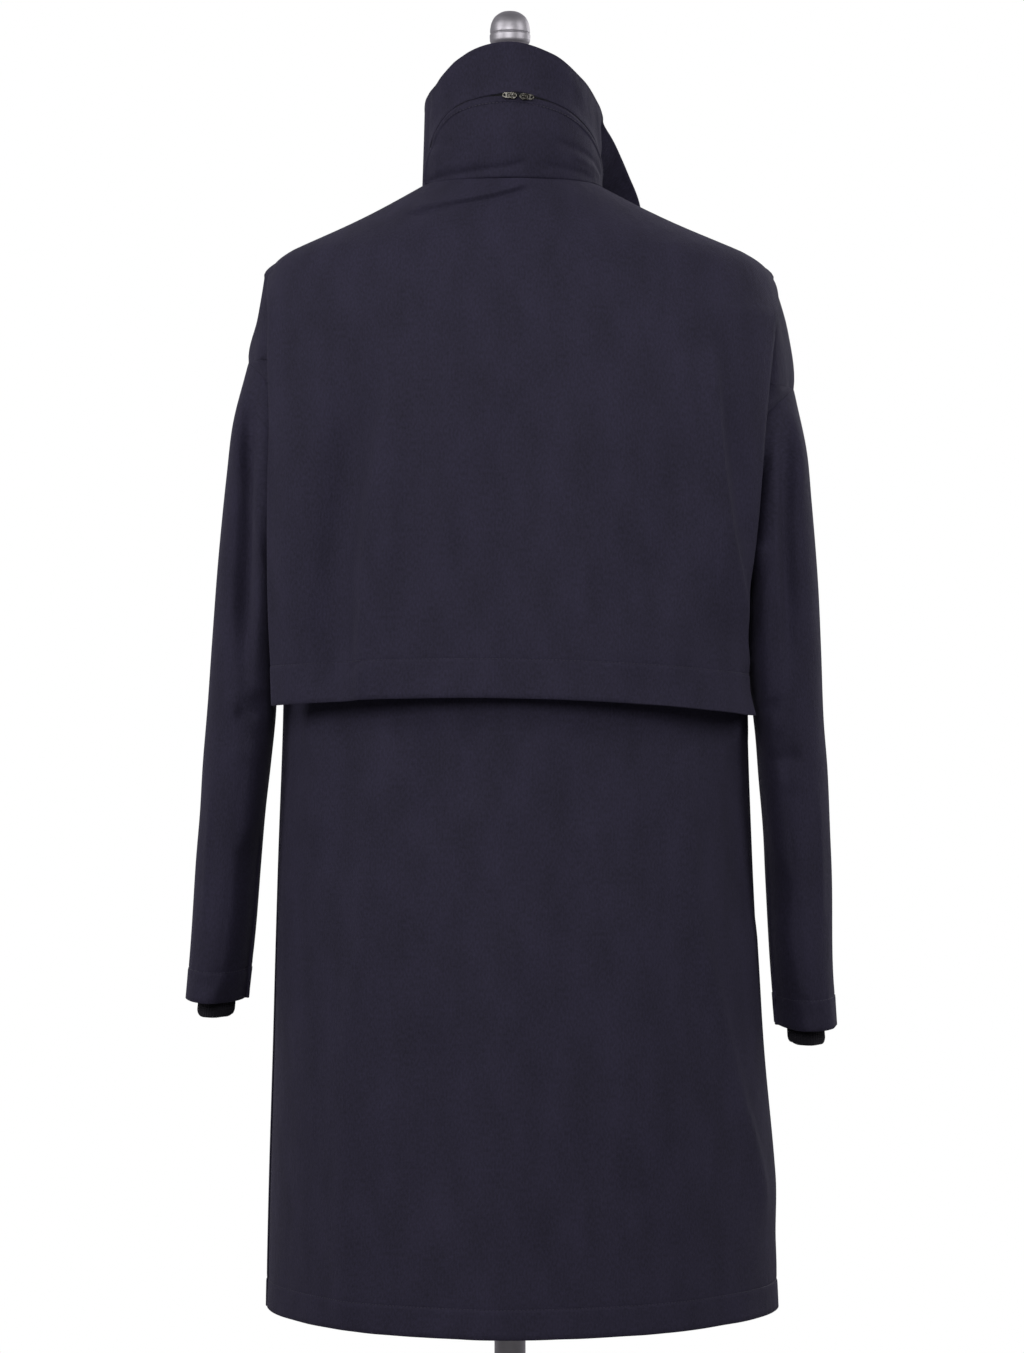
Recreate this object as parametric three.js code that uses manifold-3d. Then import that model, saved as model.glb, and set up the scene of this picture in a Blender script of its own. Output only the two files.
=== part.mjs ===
// A knee-length overcoat with a cape over the back and a high funnel collar that stows a hood behind an
// arched zip, worn by a limbless dress form on a pole stand.
//
// Millimetres, +Z up. The coat's back faces -Y and its front +Y, so the wearer's right hand is at +X.
// The origin is at the middle of the stand's foot, on the floor.
//
// Each cloth piece is one panel of a pattern: a grid of points on the coat's outer face, given a wall
// behind it. Grids come from the section tables below. Angles go round the wearer in degrees: 0 is the
// middle of the back, 90 the right side, 180 the middle of the front and -90 the left side.
import * as THREE from "three";
import { mergeVertices } from "three/addons/utils/BufferGeometryUtils.js";
import Module from "manifold-3d";

const wasm = await Module();
wasm.setup();

// ---------------------------------------------------------------- driving dimensions

const SHELL_WALL = 1.6; // coat cloth with its lining
const CAPE_WALL = 1.4;
const COLLAR_WALL = 2.4; // two layers with interlining
const POCKET_WALL = 1.4;
const RIB_WALL = 2.2; // knitted rib
const SEAM_GAP = 0.4; // air between two pieces at a seam
const LAYER_GAP = 0.8; // air between a piece and the one it lies on

const HEM_Z = 408;
const YOKE_Z = 1331; // where the shoulders start to close in towards the neck
const YOKE_CORNER = 1.2; // how squarely the shoulder line turns at its outer end; 0 is a straight slope

const ARMHOLE = { z: 1170, halfHeight: 74, halfTurn: 32 };
const OVERLAP_TURN = 8; // the right front laps over the left by this angle past the middle

// The neck seam, an oval round the neck that dips at the front.
const NECK = { left: 79, right: 81, back: 88, front: 72, backZ: 1409, sideZ: 1411, frontZ: 1362 };

// Horizontal sections of the body. left, right, back and front are how far it reaches from the pole,
// square is the section's exponent (2 is an ellipse), and drop is how far the right side hangs below
// the row's height, with the left side as far above it.
const BODY = [
  { z: 408, left: 219, right: 241, back: 167, front: 150, square: 1.8, drop: 0 },
  { z: 520, left: 216.5, right: 236, back: 163, front: 149, square: 1.85, drop: 0 },
  { z: 640, left: 213, right: 227, back: 158.5, front: 148, square: 1.9, drop: 0 },
  { z: 720, left: 211, right: 223, back: 155, front: 147, square: 1.95, drop: 0 },
  { z: 810, left: 208.5, right: 218.5, back: 151, front: 146, square: 2, drop: 0 },
  { z: 945, left: 204, right: 214, back: 144, front: 146, square: 2.05, drop: 3 },
  { z: 1096, left: 203, right: 214, back: 139, front: 144, square: 2.1, drop: 12 },
  { z: 1170, left: 215, right: 232, back: 138, front: 141, square: 2.1, drop: 12 },
  { z: 1244, left: 235, right: 255, back: 134, front: 130, square: 2.1, drop: 12 },
  { z: 1290, left: 227, right: 250, back: 128, front: 117, square: 2.1, drop: 6 },
  { z: 1331, left: 221, right: 237, back: 121, front: 103, square: 2.1, drop: 1 },
];

// Horizontal sections of the cape, which hangs clear of the body below the shoulders. side is how far
// behind the pole its widest line lies, and turnLeft and turnRight are the angles of its two edges.
const CAPE = [
  { z: 956, left: 213, right: 225, back: 163, side: 62, square: 2.2, turnLeft: 78, turnRight: 98 },
  { z: 978, left: 215, right: 220, back: 161, side: 62, square: 2.2, turnLeft: 76, turnRight: 92 },
  { z: 1033, left: 219, right: 215, back: 158, side: 62, square: 2.2, turnLeft: 74, turnRight: 79 },
  { z: 1094, left: 221, right: 225, back: 154, side: 62, square: 2.2, turnLeft: 73, turnRight: 73 },
  { z: 1149, left: 221, right: 231, back: 150, side: 60, square: 2.2, turnLeft: 73, turnRight: 72 },
  { z: 1195, left: 220, right: 235, back: 146.5, side: 55, square: 2.2, turnLeft: 73, turnRight: 72 },
  { z: 1242, left: 221, right: 239, back: 141.5, side: 45, square: 2.2, turnLeft: 74, turnRight: 73 },
  { z: 1290, left: 226.5, right: 246, back: 134, side: 25, square: 2.15, turnLeft: 73, turnRight: 74 },
  { z: 1331, left: 224, right: 240, back: 124, side: 0, square: 2.1, turnLeft: 90, turnRight: 90 },
];
// The cape's hem runs down to the right and towards its corners, which fades out at a height.
const CAPE_HEM = { tilt: 0.018, cornerDrop: 12, width: 440, endsAt: 1100 };

// Sections of the two hanging sleeves, flat from side to side. The outer line's points are (outX, outZ)
// and the inner line's (inX, inZ), both away from the pole; back and front are the section's reach in Y.
const LEFT_SLEEVE = [
  { outZ: 1205, outX: 246, inZ: 1076, inX: 208, back: -76, front: 76 },
  { outZ: 1150, outX: 253.5, inZ: 1045, inX: 208.5, back: -72, front: 75 },
  { outZ: 1078, outX: 261, inZ: 1010, inX: 209, back: -68, front: 74 },
  { outZ: 1010, outX: 266.4, inZ: 975, inX: 210, back: -65, front: 73 },
  { outZ: 950, outX: 271, inZ: 938, inX: 211.5, back: -61, front: 71 },
  { outZ: 897, outX: 276, inZ: 895, inX: 216, back: -56, front: 70 },
  { outZ: 852, outX: 279, inZ: 852, inX: 221, back: -51, front: 69 },
  { outZ: 806, outX: 283, inZ: 806, inX: 225, back: -46, front: 68 },
  { outZ: 745, outX: 287, inZ: 745, inX: 230, back: -41, front: 67 },
  { outZ: 686, outX: 292, inZ: 685, inX: 237, back: -36, front: 66 },
];
const RIGHT_SLEEVE = [
  { outZ: 1180, outX: 264, inZ: 1052, inX: 217, back: -76, front: 76 },
  { outZ: 1125, outX: 270, inZ: 1022, inX: 218, back: -72, front: 75 },
  { outZ: 1060, outX: 275.5, inZ: 988, inX: 219, back: -68, front: 74 },
  { outZ: 1000, outX: 278.5, inZ: 955, inX: 220, back: -65, front: 73 },
  { outZ: 938, outX: 281.2, inZ: 920, inX: 221.5, back: -61, front: 71 },
  { outZ: 889, outX: 285.5, inZ: 882, inX: 224.5, back: -56, front: 70 },
  { outZ: 836, outX: 288, inZ: 836, inX: 228.6, back: -51, front: 69 },
  { outZ: 788, outX: 290, inZ: 788, inX: 231, back: -46, front: 68 },
  { outZ: 718, outX: 290.7, inZ: 718, inX: 235, back: -41, front: 67 },
  { outZ: 661, outX: 294, inZ: 661, inX: 240, back: -36, front: 66 },
];
const SLEEVE_SQUARE = 2.2;

// The rib cuff inside each sleeve: how far above the sleeve's edge each ring is, its half width and half
// depth. The first ring is sewn to the sleeve, so it takes its size from there.
const RIB = [
  { rise: 62, halfWidth: 21, halfDepth: 44 },
  { rise: 34, halfWidth: 17, halfDepth: 38 },
  { rise: 2, halfWidth: 16.4, halfDepth: 36 },
  { rise: -10, halfWidth: 16.9, halfDepth: 36.6 },
  { rise: -17.5, halfWidth: 14.8, halfDepth: 34.6 },
];

// The collar's top edge at each angle, and lean: 0 where the collar rises straight to it, up to 1 where
// it first stands up and then folds outwards. The right front end is undone and lies open.
const COLLAR = [
  { angle: -176, x: -8, y: 82, z: 1448, lean: 0 },
  { angle: -150, x: -41, y: 74, z: 1452, lean: 0 },
  { angle: -120, x: -69, y: 40, z: 1466, lean: 0 },
  { angle: -90, x: -76.5, y: -8, z: 1487, lean: 0 },
  { angle: -60, x: -65, y: -53, z: 1498, lean: 0 },
  { angle: -30, x: -38, y: -83, z: 1520, lean: 0 },
  { angle: 0, x: 0, y: -93, z: 1528, lean: 0 },
  { angle: 30, x: 37, y: -84, z: 1519, lean: 0 },
  { angle: 60, x: 63, y: -56, z: 1503, lean: 0.05 },
  { angle: 90, x: 79.5, y: -14, z: 1486, lean: 0.15 },
  { angle: 105, x: 87.5, y: 10, z: 1469, lean: 0.3 },
  { angle: 120, x: 97, y: 34, z: 1453, lean: 0.5 },
  { angle: 135, x: 108, y: 56, z: 1432, lean: 0.65 },
  { angle: 150, x: 119, y: 78, z: 1408, lean: 0.75 },
  { angle: 165, x: 124, y: 96, z: 1374, lean: 0.85 },
  { angle: 176, x: 119, y: 108, z: 1340, lean: 0.9 },
];

// The hood pocket's zip is an arch: level over the middle of the back, and steep at both ends. crown is
// its height there, as a share of the collar's. It would reach the neck seam at each reach from its
// crown's angle, but stops at the start and end angles. The higher the square, the flatter the arch.
const ZIP = { crown: 0.605, crownAngle: 4, start: -68, end: 86, width: 4, wall: 1 };
const ZIP_LEFT = { reach: 74, square: 6 };
const ZIP_RIGHT = { reach: 88, square: 3 };
const POCKET_SWELL = 4; // the stowed hood pushes the pocket's cloth out by this

const SLIDER = {
  length: 8,
  width: 6.4,
  height: 3,
  crownHeight: 2.8,
  crownWidth: 1.6,
  crownHalf: 2.4,
  bridge: 0.8,
};
const SLIDER_FROM_MIDDLE = 4.6;
const SLIDER_LIFT = 3.1; // the slider's underside above the collar's face
const ZIP_MIDDLE_X = 6.7; // the two sliders meet a little to the right of the middle of the back
const PULL = { length: 9, width: 5, thickness: 1, eye: 1.9, arm: 1.1, slot: 4.1 };
const PIN_OUT = 4; // the pull's pin above the slider's underside

// The dress form: rows of its torso below the shoulders, then of its neck.
const TORSO = [
  { z: 760, side: 158, back: 112, front: 96 },
  { z: 800, side: 166, back: 120, front: 99 },
  { z: 860, side: 163, back: 113, front: 97 },
  { z: 930, side: 139, back: 90, front: 90 },
  { z: 1000, side: 122, back: 78, front: 90 },
  { z: 1080, side: 132, back: 89, front: 102 },
  { z: 1160, side: 150, back: 101, front: 122 },
  { z: 1230, side: 160, back: 106, front: 116 },
  { z: 1290, side: 176, back: 102, front: 96 },
];
const FORM_NECK = [
  { z: 1421, side: 62, back: 67, front: 50 },
  { z: 1445, side: 56, back: 61, front: 46 },
  { z: 1490, side: 53, back: 57, front: 44 },
];
const FORM_SHOULDER_END = 188;
const FORM_ROWS = [0.35, 0.5, 0.65, 0.8, 1]; // the shares of the yoke that the form follows from below
const FORM_NECK_INSET = 6; // the form's root of the neck lies this far under the neck seam
const FORM_GAP = 0.8; // air between the form's shoulders and the cloth that rests on them
const NECK_TOP_Z = FORM_NECK.at(-1).z;
const NECK_CAP = { radius: 49, height: 14, bevel: 3, middleY: -6 };
const SEAT_GAP = 0.3; // air between two hard pieces, one seated on the other

// The knob's profile: radius, and height above its seat on the neck cap.
const KNOB = [
  [0, 0],
  [14, 0],
  [15, 2],
  [9, 8],
  [8, 24],
  [10, 33],
  [15.5, 38],
  [17, 40.5],
  [17.6, 43],
  [19.6, 44.6],
  [19.6, 46.8],
  [18.4, 48.2],
  [18.2, 51],
  [16.8, 56.5],
  [13.6, 61.8],
  [8.2, 65.6],
  [0, 66.9],
];

const POLE_RADIUS = 14;
const PLATE = { radius: 46, height: 6 }; // under the form's base
const FOOT = { radius: 190, height: 9, bevel: 3 };
const SOCKET = { radius: 25, height: 46, bevel: 4 };

// ---------------------------------------------------------------- numbers and rows

const radians = (degrees) => (degrees * Math.PI) / 180;
const mix = (a, b, share) => a + (b - a) * share;
const power = (value, exponent) => Math.sign(value) * Math.abs(value) ** exponent;

function smooth(value, low, high) {
  const share = Math.min(1, Math.max(0, (value - low) / (high - low)));
  return share * share * (3 - 2 * share);
}

// The row of a table at a place between its rows, each column on a smooth curve through its values.
function rowAt(table, column, place) {
  const last = table.length - 1;
  const found = table.findIndex((row) => row[column] >= place);
  const i = Math.max(1, found < 0 ? last : found);
  const [low, high] = [table[i - 1], table[i]];
  const [before, after] = [table[i - 2] ?? low, table[i + 1] ?? high];
  const span = high[column] - low[column];
  const t = Math.min(1, Math.max(0, (place - low[column]) / span));
  const slope = (a, b, key) => (a === b ? 0 : ((b[key] - a[key]) / (b[column] - a[column])) * span);
  return Object.fromEntries(
    Object.keys(low).map((key) => {
      const startSlope = before === low ? slope(low, high, key) : slope(before, high, key);
      const endSlope = after === high ? slope(low, high, key) : slope(low, after, key);
      const value =
        (2 * t ** 3 - 3 * t ** 2 + 1) * low[key] +
        (t ** 3 - 2 * t ** 2 + t) * startSlope +
        (3 * t ** 2 - 2 * t ** 3) * high[key] +
        (t ** 3 - t ** 2) * endSlope;
      return [key, value];
    }),
  );
}

const steps = (from, to, count) => Array.from({ length: count + 1 }, (_, i) => mix(from, to, i / count));

// ---------------------------------------------------------------- shells and solids

// The direction along a row. At an open end it follows the curve through the last three points.
function columnTangent(row, j, closed) {
  const last = row.length - 1;
  if (closed || (j > 0 && j < last)) {
    return new THREE.Vector3().subVectors(row[(j + 1) % (last + 1)], row[(j + last) % (last + 1)]);
  }
  const [end, next, third] = j === 0 ? [row[0], row[1], row[2]] : [row[last], row[last - 1], row[last - 2]];
  const inward = new THREE.Vector3().addScaledVector(end, -3).addScaledVector(next, 4).sub(third);
  return j === 0 ? inward : inward.negate();
}

// Outward directions of a grid whose rows go up and whose columns go round the wearer from the left side
// by the back.
function normalsOf(rows, closed) {
  return rows.map((row, i) =>
    row.map((_, j) => {
      const along = columnTangent(row, j, closed);
      const [above, below] = [rows[Math.min(rows.length - 1, i + 1)][j], rows[Math.max(0, i - 1)][j]];
      const up = new THREE.Vector3().subVectors(above, below);
      return along.cross(up).normalize();
    }),
  );
}

function moved(rows, distance, closed = false) {
  const normals = normalsOf(rows, closed);
  const far = typeof distance === "function" ? distance : () => distance;
  return rows.map((row, i) => row.map((point, j) => point.clone().addScaledVector(normals[i][j], far(i, j))));
}

function geometryOf(points, triangles) {
  const geometry = new THREE.BufferGeometry().setFromPoints(points);
  geometry.setIndex(triangles);
  geometry.computeVertexNormals();
  return geometry;
}

// A wall of cloth whose outer face is the grid: a panel, or a tube if its columns close on themselves.
function shell(rows, wall, closed = false) {
  const inner = moved(rows, -wall, closed);
  const [height, width] = [rows.length, rows[0].length];
  const count = height * width;
  const at = (i, j) => i * width + (j % width);
  const quads = [];
  for (let i = 0; i < height - 1; i++) {
    for (let j = 0; j < (closed ? width : width - 1); j++) {
      const corners = [at(i, j), at(i, j + 1), at(i + 1, j + 1), at(i + 1, j)];
      quads.push(corners);
      quads.push(corners.map((k) => k + count).reverse());
    }
  }
  const rim = (a, b) => quads.push([b, a, a + count, b + count]);
  for (let j = 0; j < (closed ? width : width - 1); j++) {
    rim(at(0, j), at(0, j + 1));
    rim(at(height - 1, j + 1), at(height - 1, j));
  }
  for (let i = 0; i < height - 1 && !closed; i++) {
    rim(at(i + 1, 0), at(i, 0));
    rim(at(i, width - 1), at(i + 1, width - 1));
  }
  return geometryOf([...rows.flat(), ...inner.flat()], quads.flatMap(([a, b, c, d]) => [a, b, c, a, c, d]));
}

// A solid whose skin is the closed grid, with flat ends.
function stack(rows) {
  const width = rows[0].length;
  const at = (i, j) => i * width + (j % width);
  const triangles = [];
  for (let i = 0; i < rows.length - 1; i++) {
    for (let j = 0; j < width; j++) {
      triangles.push(at(i, j), at(i, j + 1), at(i + 1, j + 1), at(i, j), at(i + 1, j + 1), at(i + 1, j));
    }
  }
  const middle = (row) => row.reduce((sum, p) => sum.add(p), new THREE.Vector3()).divideScalar(row.length);
  const points = [...rows.flat(), middle(rows[0]), middle(rows.at(-1))];
  const [below, above] = [points.length - 2, points.length - 1];
  for (let j = 0; j < width; j++) {
    triangles.push(below, at(0, j + 1), at(0, j));
    triangles.push(above, at(rows.length - 1, j), at(rows.length - 1, j + 1));
  }
  return geometryOf(points, triangles);
}

// A turned solid about the Z axis. The profile is pairs of radius and height, from the bottom up.
function turned(profile, segments = 32) {
  const points = profile.map(([radius, height]) => new THREE.Vector2(radius, height));
  return new THREE.LatheGeometry(points, segments).rotateX(Math.PI / 2);
}

// ---------------------------------------------------------------- the coat's surface

// A point on a rounded section: the reach to each side, and to the back or the front.
function sectionPoint(angle, row, z) {
  const turn = radians(angle);
  const [across, along] = [Math.sin(turn), -Math.cos(turn)];
  const side = row.side ?? 0;
  const reachX = across < 0 ? row.left : row.right;
  const reachY = along < 0 ? row.back - side : (row.front ?? row.back - side) + side;
  const x = reachX * power(across, 2 / row.square);
  const y = -side + reachY * power(along, 2 / row.square);
  return new THREE.Vector3(x, y, z);
}

function bodyPoint(angle, z) {
  const row = rowAt(BODY, "z", z);
  return sectionPoint(angle, row, z - row.drop * Math.sin(radians(angle)));
}

function neckPoint(angle) {
  const low = Math.cos(radians(angle)) < 0 ? NECK.frontZ : NECK.backZ;
  const z = mix(NECK.sideZ, low, Math.cos(radians(angle)) ** 2);
  return sectionPoint(angle, { ...NECK, square: 2 }, z);
}

// The yoke: share 0 is the top of the body's sections, and 1 the neck seam.
function yokePoint(angle, share) {
  const [low, high] = [bodyPoint(angle, YOKE_Z), neckPoint(angle)];
  const inward = share - YOKE_CORNER * share * (1 - share) ** 4;
  return new THREE.Vector3(mix(low.x, high.x, inward), mix(low.y, high.y, inward), mix(low.z, high.z, share));
}

const YOKE_SHARES = [0.08, 0.2, 0.35, 0.5, 0.65, 0.8, 0.92, 1];
const ARM_SEGMENTS = 16; // round a sleeve; the body has a row at each of their heights
const armholeRows = steps(180, 0, ARM_SEGMENTS / 2).map((turn) => ({
  z: ARMHOLE.z + ARMHOLE.halfHeight * Math.cos(radians(turn)),
  cut: ARMHOLE.halfTurn * Math.sin(radians(turn)),
}));
const BODY_ROWS = [
  ...[HEM_Z, 470, 560, 650, 740, 830, 920, 1010].map((z) => ({ z, cut: 0 })),
  ...armholeRows,
  ...[1272, 1302, YOKE_Z].map((z) => ({ z, cut: 0 })),
];

// A grid of the body between two side seams. cutShare is how much each column gives way to the armhole.
function bodyGrid(angles, cutShare) {
  const rows = [
    ...BODY_ROWS.map(({ z, cut }) => angles.map((angle) => bodyPoint(angle + cut * cutShare(angle), z))),
    ...YOKE_SHARES.map((share) => angles.map((angle) => yokePoint(angle, share))),
  ];
  return seamed(rows, angles);
}

// Draws a panel's edges back from the side seams, towards the panel's own middle.
function seamed(rows, angles) {
  for (const row of rows) {
    for (const j of [0, angles.length - 1]) {
      const inner = angles[j === 0 ? 1 : j - 1];
      const towardsFront = Math.cos(radians(inner)) < Math.cos(radians(angles[j]));
      const onSeam = Math.abs(Math.cos(radians(angles[j]))) < 1e-6;
      row[j].y += onSeam ? (towardsFront ? SEAM_GAP / 2 : -SEAM_GAP / 2) : 0;
    }
  }
  return rows;
}

const BACK_ANGLES = steps(-90, 90, 18);
const MIDDLE_ANGLES = [180 - OVERLAP_TURN, 180, 180 + OVERLAP_TURN]; // both fronts have these
const FRONT_RIGHT_ANGLES = [90, 98, 108, 119, 131, 143, 155, 165, ...MIDDLE_ANGLES];
const FRONT_LEFT_ANGLES = [...MIDDLE_ANGLES, 195, 205, 217, 229, 241, 252, 262, 270];

function backGrid() {
  return bodyGrid(BACK_ANGLES, (angle) => -angle / 90);
}

function frontRightGrid() {
  const angles = FRONT_RIGHT_ANGLES;
  const rows = bodyGrid(angles, (angle) => Math.max(0, (155 - angle) / 65));
  const lap = SHELL_WALL + LAYER_GAP;
  return moved(rows, (_, j) => lap * smooth(angles[j], 155, 180 - OVERLAP_TURN));
}

function frontLeftGrid() {
  return bodyGrid(FRONT_LEFT_ANGLES, (angle) => -Math.max(0, (angle - 205) / 65));
}

// ---------------------------------------------------------------- cape

function capeGrid() {
  const shares = steps(-1, 1, 18);
  const hanging = [956, 978, 1004, 1033, 1064, 1094, 1149, 1195, 1242, 1275, 1305, 1320, YOKE_Z].map((z) => {
    const row = rowAt(CAPE, "z", z);
    return shares.map((share) => {
      const angle = share * (share < 0 ? row.turnLeft : row.turnRight);
      const point = sectionPoint(angle, row, z);
      const drop = CAPE_HEM.cornerDrop * (point.x / (CAPE_HEM.width / 2)) ** 2 + CAPE_HEM.tilt * point.x;
      point.z -= drop * (1 - smooth(z, CAPE[0].z, CAPE_HEM.endsAt));
      return point;
    });
  });
  const onYoke = [0, ...YOKE_SHARES].map((share) => BACK_ANGLES.map((angle) => yokePoint(angle, share)));
  const lying = moved(onYoke, CAPE_WALL + LAYER_GAP);
  return [...hanging, ...lying.slice(1)];
}

// ---------------------------------------------------------------- sleeves and cuffs

// side is -1 for the left sleeve and 1 for the right. Plan angles run from +X by +Y.
function sleeveGrid(side, table) {
  const turns = steps(0, 360, ARM_SEGMENTS).slice(0, -1);
  const ring = turns.map((turn) => {
    const outward = side * Math.cos(radians(turn));
    const angle = side * (90 + ARMHOLE.halfTurn * Math.sin(radians(turn)));
    const point = bodyPoint(angle, ARMHOLE.z + ARMHOLE.halfHeight * outward);
    return point.add(new THREE.Vector3(side * 0.7, 0, -SEAM_GAP));
  });
  const sections = table.map((row) => turns.map((turn) => sleevePoint(side, row, turn)));
  return [ring, ...sections].reverse();
}

function sleevePoint(side, row, turn) {
  const [cos, sin] = [Math.cos(radians(turn)), Math.sin(radians(turn))];
  const outward = side * power(cos, 2 / SLEEVE_SQUARE);
  return new THREE.Vector3(
    side * mix(row.inX, row.outX, (outward + 1) / 2),
    mix(row.back, row.front, (power(sin, 2 / SLEEVE_SQUARE) + 1) / 2),
    mix(row.inZ, row.outZ, (outward + 1) / 2),
  );
}

function ribGrid(side, table) {
  const turns = steps(0, 360, ARM_SEGMENTS).slice(0, -1);
  const [above, edge] = table.slice(-2);
  const lining = [edge, above].map((row) => turns.map((turn) => sleevePoint(side, row, turn)));
  const sewn = moved(lining, -SHELL_WALL - LAYER_GAP, true)[1];
  const shareUp = (rise) => rise / (above.outZ - edge.outZ);
  const rings = RIB.map(({ rise, halfWidth, halfDepth }) => {
    const middleX = mix(edge.inX + edge.outX, above.inX + above.outX, shareUp(rise)) / 2;
    const middleY = mix(edge.back + edge.front, above.back + above.front, shareUp(rise)) / 2;
    return turns.map((turn) => {
      const x = side * middleX + halfWidth * Math.cos(radians(turn));
      return new THREE.Vector3(x, middleY + halfDepth * Math.sin(radians(turn)), edge.outZ + rise);
    });
  });
  return [...rings.reverse().slice(0, -1), sewn];
}

// ---------------------------------------------------------------- collar and its hood pocket

const COLLAR_LIFT = 1.2; // keeps the collar's lower rim clear of the panels' upper rims

function collarPoint(angle, share) {
  const low = neckPoint(angle).add(new THREE.Vector3(0, 0, COLLAR_LIFT));
  const row = rowAt(COLLAR, "angle", angle);
  const high = new THREE.Vector3(row.x, row.y, row.z);
  const middle = low.clone().lerp(high, 0.5);
  const upright = new THREE.Vector3(low.x, low.y, mix(low.z, high.z, 0.5) + 0.35 * low.distanceTo(high));
  const bend = middle.lerp(upright, row.lean);
  return new THREE.QuadraticBezierCurve3(low, bend, high).getPoint(share);
}

function zipShare(angle) {
  const { reach, square } = angle < ZIP.crownAngle ? ZIP_LEFT : ZIP_RIGHT;
  return ZIP.crown * Math.max(0, 1 - Math.abs((angle - ZIP.crownAngle) / reach) ** square) ** 0.6;
}

const collarHeight = (angle) => collarPoint(angle, 0).distanceTo(collarPoint(angle, 1));

function collarGrid() {
  const angles = [-176, -164, -150, -135, -120, -105, ...steps(-90, 90, 16), 105, 120, 135, 150, 164, 176];
  return steps(0, 1, 6).map((share) => angles.map((angle) => collarPoint(angle, share)));
}

// What lies on the collar: a grid between two heights at each angle, moved out from the collar's face.
function onCollar(angles, shares, heightAt, out) {
  const rows = shares.map((share) => angles.map((angle) => collarPoint(angle, heightAt(angle, share))));
  return moved(rows, (i, j) => out(shares[i], angles[j]));
}

function pocketGrid() {
  const top = (angle) => zipShare(angle) - SEAM_GAP / collarHeight(angle);
  const swell = (share, angle) => POCKET_SWELL * Math.sin(Math.PI * share) * Math.cos(radians(angle));
  const lying = LAYER_GAP + POCKET_WALL;
  return onCollar(
    steps(ZIP.start, ZIP.end, 16),
    steps(0, 1, 5),
    (angle, share) => mix(0.02, top(angle), share),
    (share, angle) => lying + Math.max(0, swell(share, angle)),
  );
}

function zipGrid() {
  return onCollar(
    steps(ZIP.start, ZIP.end, 16),
    [0, 1],
    (angle, share) => zipShare(angle) + (share * ZIP.width) / collarHeight(angle),
    () => LAYER_GAP + ZIP.wall,
  );
}

// ---------------------------------------------------------------- zip sliders and pulls

function solidOf(geometry) {
  const bare = geometry.clone();
  bare.deleteAttribute("normal");
  bare.deleteAttribute("uv");
  const merged = mergeVertices(bare);
  const mesh = { numProp: 3, vertProperties: merged.attributes.position.array, triVerts: merged.index.array };
  return new wasm.Manifold(new wasm.Mesh({ ...mesh, triVerts: new Uint32Array(mesh.triVerts) }));
}

function joined(first, second) {
  const { vertProperties, triVerts } = solidOf(first).add(solidOf(second)).getMesh();
  const geometry = new THREE.BufferGeometry();
  geometry.setAttribute("position", new THREE.BufferAttribute(vertProperties, 3));
  return geometry.setIndex([...triVerts]);
}

// An outline of [x, y] corners with holes, drawn out by depth along Z and centred on it.
function extruded(outline, depth, holes = []) {
  const path = (corners) => corners.map(([x, y]) => new THREE.Vector2(x, y));
  const shape = new THREE.Shape(path(outline));
  shape.holes = holes.map((hole) => new THREE.Path(path(hole)));
  return new THREE.ExtrudeGeometry(shape, { depth, bevelEnabled: false }).translate(0, 0, -depth / 2);
}

const rectangle = (x0, x1, y0, y1) => [
  [x0, y0],
  [x1, y0],
  [x1, y1],
  [x0, y1],
];

// The slider's own frame: X along the zip, Y out from the collar, Z across the zip. On its back stands
// the crown, an arch along the zip that holds the pull's pin.
function sliderGeometry() {
  const { length, width, height, crownHeight, crownWidth, crownHalf, bridge } = SLIDER;
  const [half, nose, chamfer, rooted] = [length / 2, 1.6, 0.6, 0.4];
  const body = [
    [-half, 0],
    [half - nose, 0],
    [half, height * 0.35],
    [half - nose, height],
    [-half, height],
  ];
  const top = height + crownHeight;
  const crown = [
    [-crownHalf, height - rooted],
    [crownHalf, height - rooted],
    [crownHalf, top - chamfer],
    [crownHalf - chamfer, top],
    [chamfer - crownHalf, top],
    [-crownHalf, top - chamfer],
  ];
  const window = rectangle(bridge - crownHalf, crownHalf - bridge, height, top - bridge);
  return joined(extruded(body, width), extruded(crown, crownWidth, [window]));
}

// The pull, lying flat towards -X: its end bar is the pin, two arms pass the crown, and the tab has an eye.
function pullGeometry() {
  const { length, width, thickness, eye, arm, slot } = PULL;
  const [half, pinHalf, corner] = [width / 2, thickness / 2, 1.2];
  const outline = [
    [pinHalf, -half],
    [pinHalf, half],
    [corner - length, half],
    [-length, half - corner],
    [-length, corner - half],
    [corner - length, -half],
  ];
  const crownSlot = rectangle(-pinHalf - slot, -pinHalf, arm - half, half - arm);
  const eyeHole = rectangle(arm - length, arm - length + eye, -eye / 2, eye / 2);
  return extruded(outline, thickness, [crownSlot, eyeHole]).rotateX(Math.PI / 2).translate(0, PIN_OUT, 0);
}

// The frame of a place on the zip, with X along it towards the wearer's right and Y out from the collar.
function zipFrame(angle, out) {
  const turns = [angle - 1, angle, angle + 1];
  const grid = onCollar(turns, [-0.02, 0, 0.02], (turn, share) => zipShare(turn) + share, () => 0);
  const along = new THREE.Vector3().subVectors(grid[1][2], grid[1][0]).normalize();
  const outward = normalsOf(grid, false)[1][1];
  const across = new THREE.Vector3().crossVectors(along, outward);
  const place = grid[1][1].clone().addScaledVector(outward, out);
  return new THREE.Matrix4().makeBasis(along, outward, across).setPosition(place);
}

// The angle at which the zip passes a place across the back.
function zipAngleAt(x) {
  let angle = 0;
  for (let round = 0; round < 20; round++) {
    angle += (x - collarPoint(angle, zipShare(angle)).x) / radians(NECK.back);
  }
  return angle;
}

// ---------------------------------------------------------------- dress form

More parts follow.
